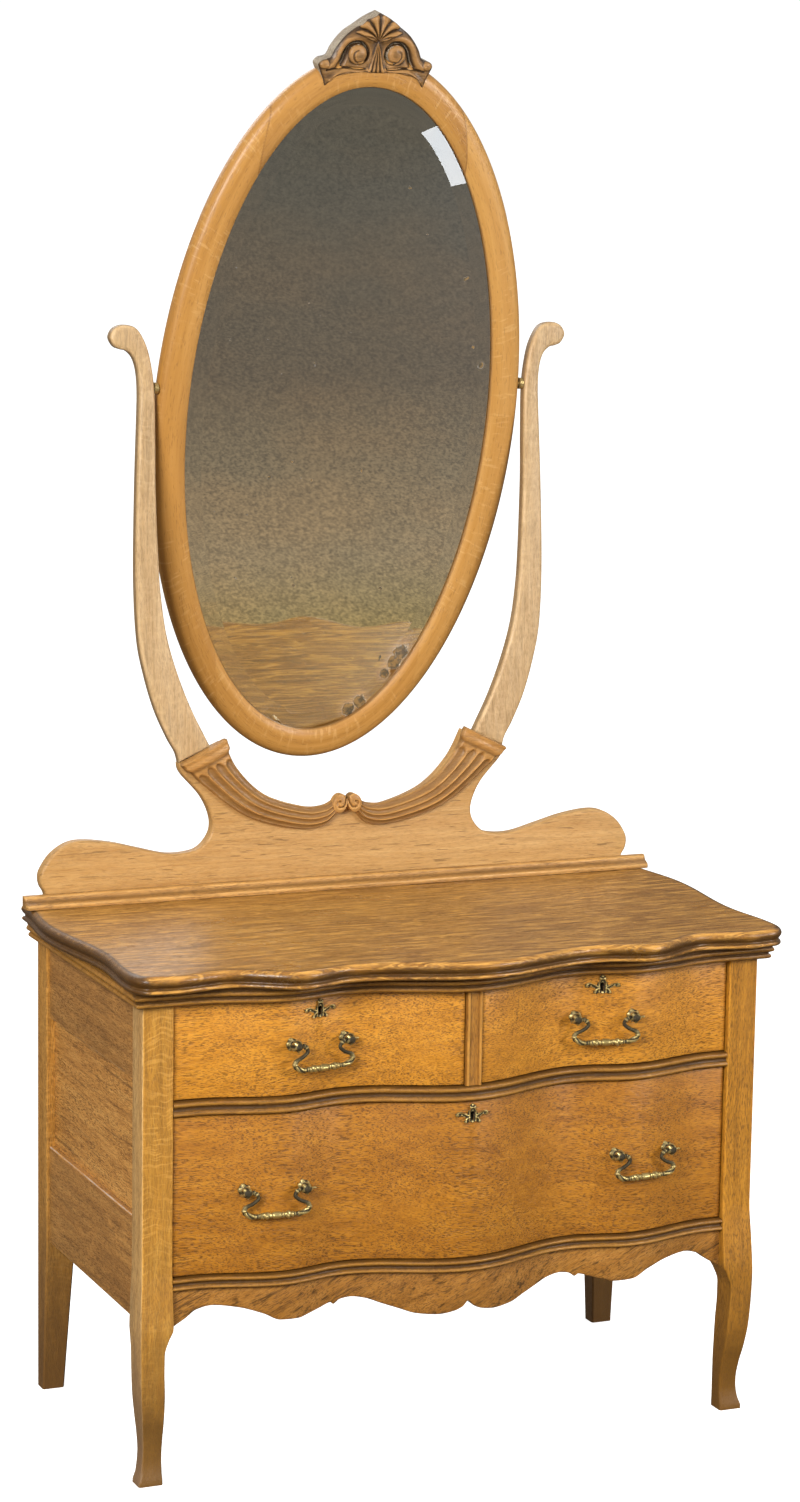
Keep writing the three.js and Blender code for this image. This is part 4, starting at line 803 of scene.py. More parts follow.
def brass(name, bright, dull, grime_from=0.42, relief=False):
    """Old cast brass: rubbed bright on the high places, brown and green in the hollows."""
    look = Look(name)
    patch = look.noise(grain(look, "X", (190, 190, 190)), 4, 0.65)
    fine = look.noise(grain(look, "X", (900, 900, 900)), 2, 0.5)
    age = patch * 0.6 + fine * 0.4
    if relief:
        age = age * 0.42 + look.mark("recess") * 0.58
    tarnish = age.between(grime_from, grime_from + 0.30)
    tone = look.mixed(fine.between(0.35, 0.65), bright, tuple(c * 0.72 for c in bright))
    tone = look.mixed(tarnish, tone, dull)
    normal = look.bump(0.5, 0.0004, patch + fine * 0.4)
    look.wear(Base_Color=tone, Metallic=0.80 - tarnish * 0.45, Roughness=0.34 + tarnish * 0.34, Normal=normal)
    return look.material


plain_brass = brass("brass_plain", (0.50, 0.36, 0.14), (0.15, 0.10, 0.040), 0.42)
cast_brass = brass("brass_cast", (0.54, 0.415, 0.160), (0.032, 0.023, 0.009), 0.34, relief=True)
bolt_run, bolt_in = 0.009, 0.015
mortise_half, mortise_thick, spare = 0.009, 0.003, 0.001
for name, d in drawers.items():
    dress(steel_look.material, "lock_case_" + name)
    dress(plain_brass, "lock_bolt_" + name)
    above, underside = ("moulding_run", moulding_low)
    if name == "lower":
        above, underside = ("middle_rail_beaded", 0.4910)
    bolt_middle = float(face_y(d["key"])) + bolt_in
    above = bpy.data.objects[above]
    cut_away(above, block(d["key"], mortise_half, bolt_middle - mortise_thick, bolt_middle + mortise_thick,
                          underside - 2 * spare, underside + bolt_run + spare))
    edged(above)

# Escutcheons
# Small cast shields with a crown of leaves, a scroll on each side and a pair of curled feet, pinned
# over the keyholes.


def nearest(x, z, line):
    """Distance to a line of points, and how far along it the nearest place is."""
    best, along = np.full(x.shape, 1e9), np.zeros(x.shape)
    line = np.asarray(line, float)
    for i, (a, b) in enumerate(zip(line[:-1], line[1:])):
        run = b - a
        t = np.clip(((x - a[0]) * run[0] + (z - a[1]) * run[1]) / max(run @ run, 1e-12), 0, 1)
        d = np.hypot(x - a[0] - t * run[0], z - a[1] - t * run[1])
        along = np.where(d < best, (i + t) / (len(line) - 1), along)
        best = np.minimum(best, d)
    return best, along


def inside(x, z, outline):
    line = np.asarray(outline, float)
    ahead = np.roll(line, -1, 0)
    found = np.zeros(x.shape, bool)
    for (ax, az), (bx, bz) in zip(line, ahead):
        crosses = (az > z) != (bz > z)
        at = ax + (z - az) / np.where(bz == az, 1e-12, bz - az) * (bx - ax)
        found ^= crosses & (x < at)
    return found


def relief(outline, spacing, height, back, hole=None):
    """A carved or cast plate: a fine mesh inside an outline, raised by height and flat behind."""
    outline = np.asarray(outline, float)
    low, high = outline.min(0), outline.max(0)
    across = np.arange(low[0] + spacing / 2, high[0], spacing)
    up = np.arange(low[1] + spacing / 2, high[1], spacing * 0.866)
    gx, gz = np.meshgrid(across, up)
    gx[1::2] += spacing / 2
    gx, gz = gx.ravel(), gz.ravel()
    loops = [outline] if hole is None else [outline, np.asarray(hole, float)]

    def on_plate(x, z):
        return inside(x, z, outline) & ~np.any([inside(x, z, loop) for loop in loops[1:]], axis=0)

    keep = on_plate(gx, gz)
    for loop in loops:
        keep &= nearest(gx, gz, np.vstack([loop, loop[:1]]))[0] > spacing * 0.45
    flat = [Vector(p) for loop in loops for p in loop] + [Vector(p) for p in zip(gx[keep], gz[keep])]
    edges, start = [], 0
    for loop in loops:
        edges += [(start + i, start + (i + 1) % len(loop)) for i in range(len(loop))]
        start += len(loop)
    found, _, tris, *_ = delaunay_2d_cdt(flat, edges, [], 0, 1e-9)
    spot = np.array([tuple(p) for p in found])
    tris = np.array(tris)
    tris = tris[on_plate(*spot[tris].mean(1).T)]
    raised = height(spot[:, 0], spot[:, 1])
    count = len(spot)
    points = np.vstack([np.column_stack([spot[:, 0], -raised, spot[:, 1]]),
                        np.column_stack([spot[:, 0], np.full(count, back), spot[:, 1]])])
    faces = [tuple(t) for t in tris] + [tuple(t[::-1] + count) for t in tris]
    sides = dict.fromkeys((t[i], t[(i + 1) % 3]) for t in tris for i in range(3))
    faces += [(b, a, a + count, b + count) for a, b in sides if (b, a) not in sides]
    used = np.unique(np.concatenate([np.array(f) for f in faces]))
    renumber = {int(old): new for new, old in enumerate(used)}
    return points[used], [tuple(renumber[int(i)] for i in f) for f in faces]


def hollows(height, x, z, reach):
    """How far each place of a relief lies under its surroundings, from 0 on a ridge to 1 in a groove."""
    turns = [2 * math.pi * k / 8 for k in range(8)]
    around = [height(x + reach * math.cos(a), z + reach * math.sin(a)) for a in turns]
    return np.clip(0.45 + (np.mean(around, 0) - height(x, z)) / (0.5 * reach), 0, 1)


shield_half = through(np.array([
    (0, 0.52), (0.1, 0.46), (0.17, 0.37), (0.15, 0.22), (0.25, 0.1), (0.31, -0.02), (0.5, 0.03),
    (0.68, 0.09), (0.86, 0.09), (0.99, 0), (0.97, -0.12), (0.82, -0.15), (0.66, -0.08), (0.5, -0.17),
    (0.38, -0.2), (0.42, -0.32), (0.5, -0.4), (0.44, -0.48), (0.3, -0.47), (0.22, -0.4), (0.1, -0.44),
    (0, -0.48)]) * (0.0235, 0.026), 84)


def ridge(d, width, high):
    """A rounded rise along a line, by the distance from it."""
    return high * np.exp(-(d / width) ** 2)


def shield_height(x, z):
    ax, mm = np.abs(x), 0.001
    d_key, _ = nearest(ax, z, [(0, 3.2 * mm), (0, -9 * mm)])
    h = np.full(x.shape, 1.3 * mm)
    h += ridge(d_key - 4.6 * mm, 1.0 * mm, 1.3 * mm)
    wing = through(np.array([(6.5, -2.5), (10, -0.6), (14, 1.6), (18, 2.1), (21, 1.0)]) * mm, 20)
    h += ridge(nearest(ax, z, wing)[0], 1.3 * mm, 1.7 * mm)
    foot = through(np.array([(4.5, -5), (7, -6), (9.4, -8.5), (9.6, -11)]) * mm, 14)
    h += ridge(nearest(ax, z, foot)[0], 1.1 * mm, 1.4 * mm)
    for cx, cz, r, high in ((21.2, -1.2, 2.0, 2.2), (10.2, -11, 1.7, 1.8), (0, 11.6, 1.7, 2.0),
                            (3.2, 8.6, 1.5, 1.7), (4.4, 4.2, 1.2, 1.3),
                            (0, -11.2, 1.5, 1.4), (15.2, -1.4, 1.1, 0.9)):
        h += ridge(np.hypot(ax - cx * mm, z - cz * mm), r * mm, high * mm)
    return h


shield = mirrored(shield_half)
points, faces = relief(shield, 0.00055, shield_height, 0.0, key_shape(0, 0, 0.0031, 0.0019))
shield_recess = hollows(shield_height, points[:, 0], points[:, 2], 0.0014)
for name, d in drawers.items():
    seat = face_y(points[:, 0] + d["key"]) - glue
    placed = points + np.column_stack([np.full(len(seat), d["key"]), seat,
                                       np.full(len(seat), d["high"] - key_drop)])
    piece("shield_" + name, placed, faces, cast_brass, "brass", "drawer_" + name, ["escutcheon_" + name],
          sharp=60, recess=shield_recess)

# Handles
# Two cast posts like budding leaves are bolted through each drawer front, and a bail hangs between
# them on its own pins: leafy elbows, a bar with a barrel in the middle and a twisted oval on each side.
spacing, stand_off = 0.080, 0.015
handles = {
    "upper_left": ("drawer_upper_left", -0.2045, 0.580),
    "upper_right": ("drawer_upper_right", 0.2045, 0.580),
    "lower_left": ("drawer_lower", -0.264, 0.390),
    "lower_right": ("drawer_lower", 0.264, 0.390),
}


def bud(has_spur):
    """A handle post along -Y from its seat at the origin."""
    stem = [(0, 0.0001), (0, 0.0078), (0.0014, 0.0080), (0.0026, 0.0073), (0.0040, 0.0050), (0.0058, 0.0036),
            (0.0078, 0.0042), (0.0096, 0.0058), (0.0120, 0.0067), (0.0148, 0.0070), (0.0172, 0.0067),
            (0.0192, 0.0056), (0.0206, 0.0046), (0.0219, 0.0030), (0.0224, 0.0001)]
    stem = through(stem, 66)
    around = np.linspace(0, 2 * math.pi, 48, endpoint=False)
    rings, marks = [], []
    for out, radius in stem:
        leaf = 0.20 * math.exp(-((out - 0.0140) / 0.0052) ** 2)
        leaf += 0.10 * math.exp(-((out - 0.0015) / 0.002) ** 2)
        wave_round = np.cos(around * 5 + (out - 0.013) * 240) + 0.45 * np.cos(around * 3 - out * 420)
        r = max(radius, 0.0001) * (1 + leaf * wave_round)
        rings.append(np.column_stack([r * np.cos(around), np.full(48, -out), r * np.sin(around)]))
        marks.append(np.clip(0.50 - 2.6 * leaf * wave_round + (0.25 if radius < 0.0046 else 0), 0, 1))
    parts = [(*skin(rings), np.concatenate(marks))]
    if has_spur:
        tube = [[(0.0055 + out, -0.0150 + r * math.cos(a), 0.0006 + r * math.sin(a)) for a in around[::5]]
                for out, r in ((0, 0.0012), (0.0045, 0.0010), (0.0056, 0.0014),
                               (0.0068, 0.0012), (0.0076, 0.0003))]
        spur_points, spur_faces = skin(tube)
        parts.append((spur_points, spur_faces, np.full(len(spur_points), 0.2)))
    return joined(parts)


half_bail = [(1, 0), (0.82, 0), (0.68, 0.09), (0.62, 0.27), (0.78, 0.45), (1.02, 0.58), (1.09, 0.7),
             (1.05, 0.85), (0.84, 0.985), (0.5, 1)]
half_bail = [(x * spacing / 2, -0.0325 * z) for x, z in half_bail]


def bail_rod():
    track = through(mirrored(half_bail), 900)
    run = np.append(0, np.cumsum(np.linalg.norm(np.diff(track, axis=0), axis=1)))
    steps = np.linspace(0, run[-1], 300)
    path = np.column_stack([np.interp(steps, run, track[:, i]) for i in range(2)])
    from_middle = np.abs(steps - run[-1] / 2) * 1000
    end = run[-1] * 500
    radius = np.full(len(steps), 2.45)
    radius += 1.0 * np.exp(-((from_middle - 38) / 8.5) ** 4)
    radius += ridge(from_middle - 51, 4, 0.7)
    bumps = [(0, 6.2, 2.2, 6), (8.3, 1.0, 1.5, 2), (15.0, 5.2, 2.1, 3), (21.6, 1.0, 1.4, 2),
             (24.6, 0.9, 1.1, 2), (29.0, 1.6, 0.7, 2), (47.5, 1.0, 1.0, 2), (end - 13.5, 1.3, 1.2, 2),
             (end - 9.5, 1.0, 0.8, 2)]
    for place, width, high, power in bumps:
        radius += high * np.exp(-np.abs((from_middle - place) / width) ** power)
    pin = 1 / (1 + np.exp(-(end - from_middle - 6.8) * 3))
    radius = 1.45 + (radius - 1.45) * pin
    along = np.gradient(path, axis=0)
    along /= np.linalg.norm(along, axis=1)[:, None]
    around = np.linspace(0, 2 * math.pi, 20, endpoint=False)
    rings, marks = [], []
    for i, (px, pz) in enumerate(path):
        oval = math.exp(-abs((from_middle[i] - 15.0) / 5.2) ** 4)
        leaf = math.exp(-((from_middle[i] - 38) / 9) ** 4)
        barrel = math.exp(-(from_middle[i] / 5.6) ** 6)
        wring = 0.17 * oval * np.cos(2 * around + steps[i] * 900)
        wring += 0.15 * leaf * np.cos(3 * around + steps[i] * 400)
        wring += 0.07 * barrel * np.cos(4 * around)
        r = radius[i] * 0.001 * (1 + wring)
        side = np.cos(around) * r
        rings.append(np.column_stack([px - along[i, 1] * side, np.sin(around) * r, pz + along[i, 0] * side]))
        marks.append(np.clip(0.50 - 2.4 * wring - (radius[i] - 3.2) * 0.28, 0, 1))
    return *skin(rings), np.concatenate(marks)


rod_points, rod_faces, rod_marks = bail_rod()
for name, (body, x, z) in handles.items():
    ends = [float(face_y(x - spacing / 2)), float(face_y(x + spacing / 2))]
    turn = math.atan2(ends[1] - ends[0], spacing)
    seat = Matrix.Translation((x, sum(ends) / 2, z)) @ Matrix.Rotation(turn, 4, "Z")
    for side, sign in (("left", -1), ("right", 1)):
        points, faces, marks = bud(side == "right")
        where = seat @ Matrix.Translation((sign * spacing / 2, 0, 0))
        placed = [where @ Vector(p) for p in points]
        piece("bud_" + name + "_" + side, placed, faces, cast_brass, "brass", body,
              ["handle_post_" + name + "_" + side], sharp=60, recess=marks)
    where = seat @ Matrix.Translation((0, -stand_off, 0))
    piece("bail_rod_" + name, [where @ Vector(p) for p in rod_points], rod_faces, cast_brass, "brass",
          "bail_" + name, ["bail_" + name], sharp=60, recess=rod_marks)

# Harp board and its base moulding
# The stand is sawn from one wide plank: a lobe at each end, a deep hollow, and a shoulder that
# carries each arm. A small run moulding hides its joint with the top board.
harp_front = 0.17414
harp_base = 0.6879
harp_half, harp_high, harp_thick = 0.4445, 0.226, 0.020
harp_oak = oak("oak_harp", "X", (0.36, 0.174, 0.044), (0.47, 0.260, 0.084), (0.56, 0.335, 0.125), pores=0.20,
               flecks=0.05, fleck_scales=(30, 200, 200), gloss=0.42, seed=33.0, lines=0.16, ticks=0.55)


def plate(outline, near, far, radius, steps=5):
    """A standing plank of any outline in X and Z, with rounded edges before and behind."""
    rings = []
    bend = np.linspace(0, math.pi / 2, steps + 1)
    for depth, way, turned in ((near, 1, bend[::-1]), (far, -1, bend)):
        for a in turned:
            line = inset(outline, radius * (1 - math.cos(a)))
            rings.append([(x, depth + way * radius * (1 - math.sin(a)), z) for x, z in line])
    return skin(rings, outline=outline)


lobe = through(np.array([
    (0.976, 0), (0.983, 0.075), (0.9955, 0.119), (1, 0.173), (0.992, 0.226), (0.961, 0.31), (0.911, 0.372),
    (0.855, 0.385), (0.767, 0.361), (0.684, 0.319), (0.589, 0.272), (0.517, 0.274), (0.475, 0.305),
    (0.444, 0.389), (0.444, 0.487), (0.475, 0.615), (0.54, 0.76),
    (0.551, 0.827)]) * (harp_half, harp_high), 150)
saddle = through(np.array([(0.41, 0.945), (0.36, 0.765), (0.27, 0.6), (0.14, 0.505), (0.05, 0.5),
                           (0, 0.5)]) * (harp_half, harp_high), 60)
harp_line = mirrored([(x, z + harp_base) for x, z in (*lobe, *saddle)])
harp_round = 0.0042
piece("harp_board_shaped", *plate(harp_line, harp_front, harp_front + harp_thick, harp_round), harp_oak,
      "oak_pale", stands_for=["harp_board"])

ogee = through(np.array([(1, 0.02), (1, 0.28), (0.95, 0.38), (0.80, 0.47), (0.62, 0.56), (0.50, 0.70),
                         (0.43, 0.88), (0.31, 0.985), (0.2, 1)]) * (0.023, 0.017), 40)
# Marks: darker in the hollow of the ogee, partly old polish and partly painted shade; lighter on its rounds,
# partly wear and partly painted highlight.
ogee_recess = eased(ogee[:, 1] / 0.017, [0, 0.3, 0.56, 0.9, 1], [0.5, 0.05, 0.8, 0.05, 0.2])
ogee = np.vstack([[(0, 0), (0.022, 0)], ogee, [(0, 0.017)]])
ogee_recess = np.concatenate([[0.6, 0.6], ogee_recess, [0.2]])
base_oak = oak("oak_base_moulding", "X", (0.27, 0.120, 0.026), (0.43, 0.215, 0.057), (0.56, 0.315, 0.098),
               pores=0.5, gloss=0.36, seed=36.0, dirt_shade_and_highlight=0.6)
ends = [(-0.470, 0.72), (-0.4685, 0.93), (-0.466, 1), (0.466, 1), (0.4685, 0.93), (0.470, 0.72)]
rings = [[(x, harp_front - glue - out * share, harp_base + up) for out, up in ogee] for x, share in ends]
piece("base_moulding_run", *skin(rings), base_oak, "oak_pale", stands_for=["base_moulding"],
      recess=np.tile(ogee_recess, len(ends)))

# Fluted carving
# A pair of horns is carved from thicker stock and glued on: a plain rim at the shoulder, five flutes
# with round ends that narrow as they sweep down, and two small scrolls that meet in the middle.
horn_oak = oak("oak_horns", "X", (0.32, 0.143, 0.032), (0.470, 0.231, 0.062), (0.575, 0.315, 0.098),
               pores=0.25, gloss=0.40, seed=41.0, dirt_shade_and_highlight=0.62)
horn_steps = 120
horn_upper = through(np.array([(0.41, 0.968), (0.365, 0.785), (0.275, 0.615), (0.148, 0.525), (0.075, 0.523),
                               (0.03, 0.57)]) * (harp_half, harp_high), horn_steps + 1)
horn_lower = through(np.array([(0.548, 0.832), (0.47, 0.68), (0.33, 0.48), (0.16, 0.385), (0.07, 0.4),
                               (0.028, 0.49)]) * (harp_half, harp_high), horn_steps + 1)
across = np.linspace(0, 1, 81)


def horn(sign):
    rings, marks = [], []
    for k, (top, low) in enumerate(zip(horn_upper, horn_lower)):
        t = k / horn_steps
        rim = 1 / (1 + math.exp((t - 0.088) * 260))
        widen = 1 + 0.12 * rim * math.sqrt(min(1.0, 0.2 + t / 0.02))
        a = 0.5 + (across - 0.5) * widen
        cell = across * 4.6 % 1.15 / 1.15
        start = 0.118 + 0.034 * np.abs(2 * cell - 1) ** 2 + 0.010 * np.sin(across * 9)
        begun = np.clip((t - start) / 0.010, 0, 1)
        over = np.clip((0.975 - t) / 0.08, 0, 1)
        hollow = (1 - np.abs(2 * cell - 1) ** 2.6) * begun * over
        shrink = 1 - 0.40 * t
        edge = np.clip(np.minimum(across, 1 - across) / 0.05, 0, 1)
        rise = 0.0090 + 0.0056 * np.sin(np.pi * across) ** 0.8 + 0.0024 * rim
        rise = rise * (0.50 + 0.50 * np.sqrt(edge)) - 0.0042 * hollow * shrink
        rise = rise * math.sqrt(min(1.0, 0.25 + t / 0.016)) - 0.0010 * math.exp(-((t - 0.045) / 0.014) ** 2)
        x = top[0] + (low[0] - top[0]) * a
        z = top[1] + (low[1] - top[1]) * a
        row = np.column_stack([sign * x, harp_front - glue - rise, z + harp_base])
        behind = [(sign * low[0], harp_front - glue, low[1] + harp_base),
                  (sign * top[0], harp_front - glue, top[1] + harp_base)]
        rings.append(np.vstack([row, behind]))
        # Marks: darker in the flutes, in the groove by the rim and at the edges, partly old polish and partly
        # painted shade; lighter on the ridges between the flutes, partly wear and partly painted highlight.
        groove = np.exp(-((t - 0.100) / 0.008) ** 2)
        flat = 0.40 - 0.35 * np.exp(-((np.abs(2 * cell - 1) - 1) / 0.25) ** 2) * begun
        marks.append(np.append(np.clip(flat + hollow * 0.55 + groove * 0.6 + (1 - edge) * 0.45, 0, 1),
                               [0.5, 0.5]))
    return *skin(rings), np.concatenate(marks)


def scroll_height(x, z):
    """The curled tip: an oval dome with one deep comma-shaped turn of the gouge."""
    ax, az = x * 1000, z * 1000
    comma, _ = nearest(ax, az, through([(-9, 7), (-7.5, 0), (-3.5, -5), (3, -4.5), (4, 1), (0.5, 3)], 30))
    dome = 0.0120 + 0.0045 * np.sqrt(np.clip(1 - (ax / 11.5) ** 2 - (az / 14) ** 2, 0, 1))
    return dome - ridge(comma, 1.2, 0.0036)


disc = [(0.0105 * math.cos(a) - 0.0020 * math.sin(a), 0.0132 * math.sin(a))
        for a in np.linspace(0, 2 * math.pi, 72, endpoint=False)]
scroll_points, scroll_faces = relief(disc, 0.0008, scroll_height, 0.0)
# The scroll is darker in its gouge and lighter on its dome in the same way: painted shade and painted
# highlight with old polish.
scroll_marks = np.clip(hollows(scroll_height, scroll_points[:, 0], scroll_points[:, 2], 0.0018) + 0.14, 0, 1)
scroll_out, scroll_up = 0.0110, 0.1205
parts = []
for sign in (-1, 1):
    tip_points = scroll_points * (sign, 1, 1) + (sign * scroll_out, harp_front - glue, harp_base + scroll_up)
    parts += [horn(sign), (tip_points, scroll_faces, scroll_marks)]
points, faces, marks = joined(parts)
piece("horns_carved", points, faces, horn_oak, "oak_pale", stands_for=["fluted_carving"],
      sharp=45, recess=marks)

# Arms
# Slender sawn uprights, rounded on the front, that grow out of the horns, lean back a little and
# curl outwards at the top. Their grain runs up.
arm_oak = oak("oak_arms", "Z", (0.34, 0.195, 0.078), (0.50, 0.325, 0.155), (0.59, 0.41, 0.225), pores=0.26,
              flecks=0.12, fleck_scales=(150, 40, 40), gloss=0.42, seed=47.0, dirt_shade_and_highlight=0.55)
lobe_end, saddle_start = np.array(lobe[-1]), np.array(saddle[0])
shoulder = harp_base + lobe_end[1]
arm_top, arm_round = 1.474, 0.0062
arm_high = arm_top - shoulder
arm_back = math.tan(math.radians(2.2))
arm_line = through(np.array([
    (0.795, -0.02), (0.81, 0.02), (0.852, 0.059), (0.911, 0.126), (0.959, 0.209), (0.989, 0.292), (1, 0.43),
    (0.992, 0.626), (0.979, 0.793), (0.976, 0.85), (0.982, 0.895), (1, 0.925), (1.03, 0.941), (1.06, 0.945),
    (1.09, 0.952), (1.11, 0.972), (1.09, 0.992), (1.046, 1), (0.985, 0.992), (0.94, 0.955), (0.915, 0.905),
    (0.902, 0.843), (0.9, 0.74), (0.9, 0.626), (0.889, 0.459), (0.877, 0.376), (0.852, 0.292),
    (0.805, 0.209), (0.741, 0.126), (0.675, 0.059), (0.635, 0.02)]) * (0.305, arm_high), 280) + (0, shoulder)


def above_seat(line):
    """The part of an outline over the sloping shoulder that the arm stands on."""
    a, b = lobe_end + (0, harp_base), saddle_start + (0, harp_base)
    run = (b - a) / np.linalg.norm(b - a)
    lift = np.array([run[1], -run[0]])
    clear = (line - a) @ lift - glue
    kept = []
    for i in range(len(line)):
        j = (i + 1) % len(line)
        if clear[i] >= 0:
            kept.append(line[i])
        if (clear[i] >= 0) != (clear[j] >= 0):
            t = clear[i] / (clear[i] - clear[j])
            kept.append(line[i] + (line[j] - line[i]) * t)
    return np.array(kept)


seated = above_seat(arm_line)
for side, sign in (("left", -1), ("right", 1)):
    points, faces = plate([(sign * x, z) for x, z in seated], harp_front, harp_front + harp_thick,
                          arm_round, 6)
    points[:, 1] += np.maximum(points[:, 2] - shoulder, 0) * arm_back
    # Marks round the plank: lighter on the rounded front edges, partly wear and partly painted highlight;
    # darker on the sides and towards the back, partly old polish and partly painted shade.
    arris = np.repeat([0.42, 0.3, 0.15, 0.1, 0.2, 0.6, 0.85] + [0.85, 0.8, 0.7, 0.6, 0.6, 0.6, 0.6],
                      len(seated))
    piece("arm_shaped_" + side, points, faces, arm_oak, "oak_pale", stands_for=["arm_" + side], recess=arris)
    dress(plain_brass, "pivot_" + side)

# Mirror frame
# An oval jointed up from four sawn lengths of oak and turned to a rounded face, with long scarf
# joints near the top and the foot. It hangs on the pivots and tips forward.
pivot_y, pivot_z = 0.203861, 1.388
tip = Matrix.Translation((0, pivot_y, pivot_z)) @ Matrix.Rotation(math.radians(12.3), 4, "X")
glass_half, glass_high = 0.225, 0.4625
rim_side, rim_end = 0.045, 0.044
frame_deep = 0.026
face_back = -frame_deep * 0.46
drop = 0.045
frame_profile = through([(0.005, 0.0082), (0, 0.0066), (0.012, 0.0046), (0.06, 0.0034), (0.10, 0.0024),
                         (0.20, 0.0007), (0.34, 0), (0.5, 0), (0.64, 0.0003), (0.78, 0.0017), (0.88, 0.0040),
                         (0.955, 0.0078), (0.993, 0.0125), (1, 0.0172), (0.985, 0.0225), (0.95, 0.026)], 60)
frame_profile = np.vstack([frame_profile, [(0.178, 0.026), (0.178, 0.0105), (0.002, 0.0105)]])


def oval(angle, grow, deep):
    across, end = glass_half + grow * rim_side, glass_high + grow * rim_end
    return (math.cos(angle) * across, face_back + deep, math.sin(angle) * end - drop)


def frame_wood():
    look = Look("oak_mirror_frame")
    along = look.node("ShaderNodeUVMap", {"uv_map": "run"})
    u, v = look.axis(along, "X"), look.axis(along, "Y")
    join = look.mark("length_of_wood")

    def spot(su, sv, seed=0.0):
        return look.node("ShaderNodeCombineXYZ", {}, [u * su, v * sv, join * 90.0 + seed])

    drift = look.noise(spot(2, 10), 2)
    winding = look.node("ShaderNodeCombineXYZ", {}, [u * 3.5, v * 95 + drift * 2.5, join * 40.0])
    rings = look.noise(winding, 4, 0.6)
    fibre = look.noise(spot(16, 480), 2, 0.6)
    mix = rings * 0.5 + drift * 0.25 + fibre * 0.15 + join
    tone = look.ramp(mix, (0.30, (0.31, 0.134, 0.024)), (0.52, (0.45, 0.215, 0.046)),
                     (0.74, (0.56, 0.300, 0.085)))
    ray = look.noise(spot(230, 45, 5.0), 2).between(0.56, 0.68)
    ray = ray * look.noise(spot(6, 18, 2.0), 2).between(0.35, 0.6)
    tone = look.mixed(ray * 0.40, tone, (0.66, 0.40, 0.15))
    pore = look.noise(spot(90, 640, 1.0), 1).between(0.60, 0.71)
    tone = look.mixed(pore * 0.35, tone, (0.17, 0.070, 0.016))
    seam = look.mark("seam")
    tone = look.mixed(seam.between(0.15, 1.0) * 0.6, tone, (0.13, 0.055, 0.016))
    # The marked places go dark: painted shade along the inner lip beside the glass, and pooled varnish past
    # the two upper scarf joints.
    tone = look.mixed(look.mark("recess") * 0.7, tone, (0.15, 0.060, 0.015))
    normal = look.bump(0.5, 0.0005, rings * 0.3 - pore * 0.5 - seam * 0.6)
    look.wear(Base_Color=tone, Roughness=0.42 + (drift - 0.5) * 0.16, Normal=normal, IOR=1.45,
              Coat_Weight=0.06, Coat_Roughness=0.25)
    return look.material


frame_oak = frame_wood()
turns = 720
joints = [math.radians(a) for a in (54, 127, 232, 308)]
length_tones = [0.17, 0.07, 0.03, 0.06]
rings, marks, lengths, seams, pooled, runs = [], [], [], [], [], []
travelled = 0.0
for k in range(turns):
    angle = 2 * math.pi * k / turns
    rings.append([tuple(tip @ Vector(oval(angle, grow, deep))) for grow, deep in frame_profile])
    # Darker along the inner lip beside the glass: painted shade.
    marks.append([0.8 * max(0.0, 1 - abs(grow) / 0.04) if deep < 0.012 else 0.0
                  for grow, deep in frame_profile])
    runs.append(travelled)
    stride = math.hypot(math.sin(angle) * (glass_half + 0.02), math.cos(angle) * (glass_high + 0.02))
    travelled += stride * 2 * math.pi / turns
    for grow, _ in frame_profile:
        shifted = [(angle - j - 0.20 * (grow - 0.5) * (1 if i % 2 == 0 else -1))
                   for i, j in enumerate(joints)]
        lengths.append(length_tones[sum(1 for s in shifted if s > 0) % 4])
        seams.append(max(0.0, 1 - min(abs(s) for s in shifted) / 0.0105) * (1.0 if angle < math.pi else 0.15))
        past = [s for s in (shifted[0], -shifted[1]) if s > 0]
        pooled.append(math.exp(-min(past, default=9.0) / 0.13) * max(0.0, 1 - grow * 1.5))
mesh_frame = piece("mirror_frame_turned", *skin(rings, closed_row=True), frame_oak, "oak_pale", "mirror",
                   ["mirror_frame"], recess=np.clip(np.concatenate(marks) + 0.7 * np.array(pooled), 0, 1))
marked(mesh_frame.data, "length_of_wood", lengths)
marked(mesh_frame.data, "seam", seams)
run_map = mesh_frame.data.uv_layers.new(name="run")
count = len(frame_profile)
steps_across = np.append(0, np.cumsum(np.linalg.norm(np.diff(frame_profile * (rim_side, 1), axis=0), axis=1)))
for face in mesh_frame.data.polygons:
    ring_ids = [mesh_frame.data.loops[i].vertex_index // count for i in face.loop_indices]
    wraps = max(ring_ids) - min(ring_ids) > turns / 2
    profile_ids = [mesh_frame.data.loops[i].vertex_index % count for i in face.loop_indices]
    closes = max(profile_ids) - min(profile_ids) > count / 2
    for i, ring_id, profile_id in zip(face.loop_indices, ring_ids, profile_ids):
        u = travelled if wraps and ring_id == 0 else runs[ring_id]
        v = steps_across[-1] + 0.01 if closes and profile_id == 0 else steps_across[profile_id]
        run_map.data[i].uv = (u, v)

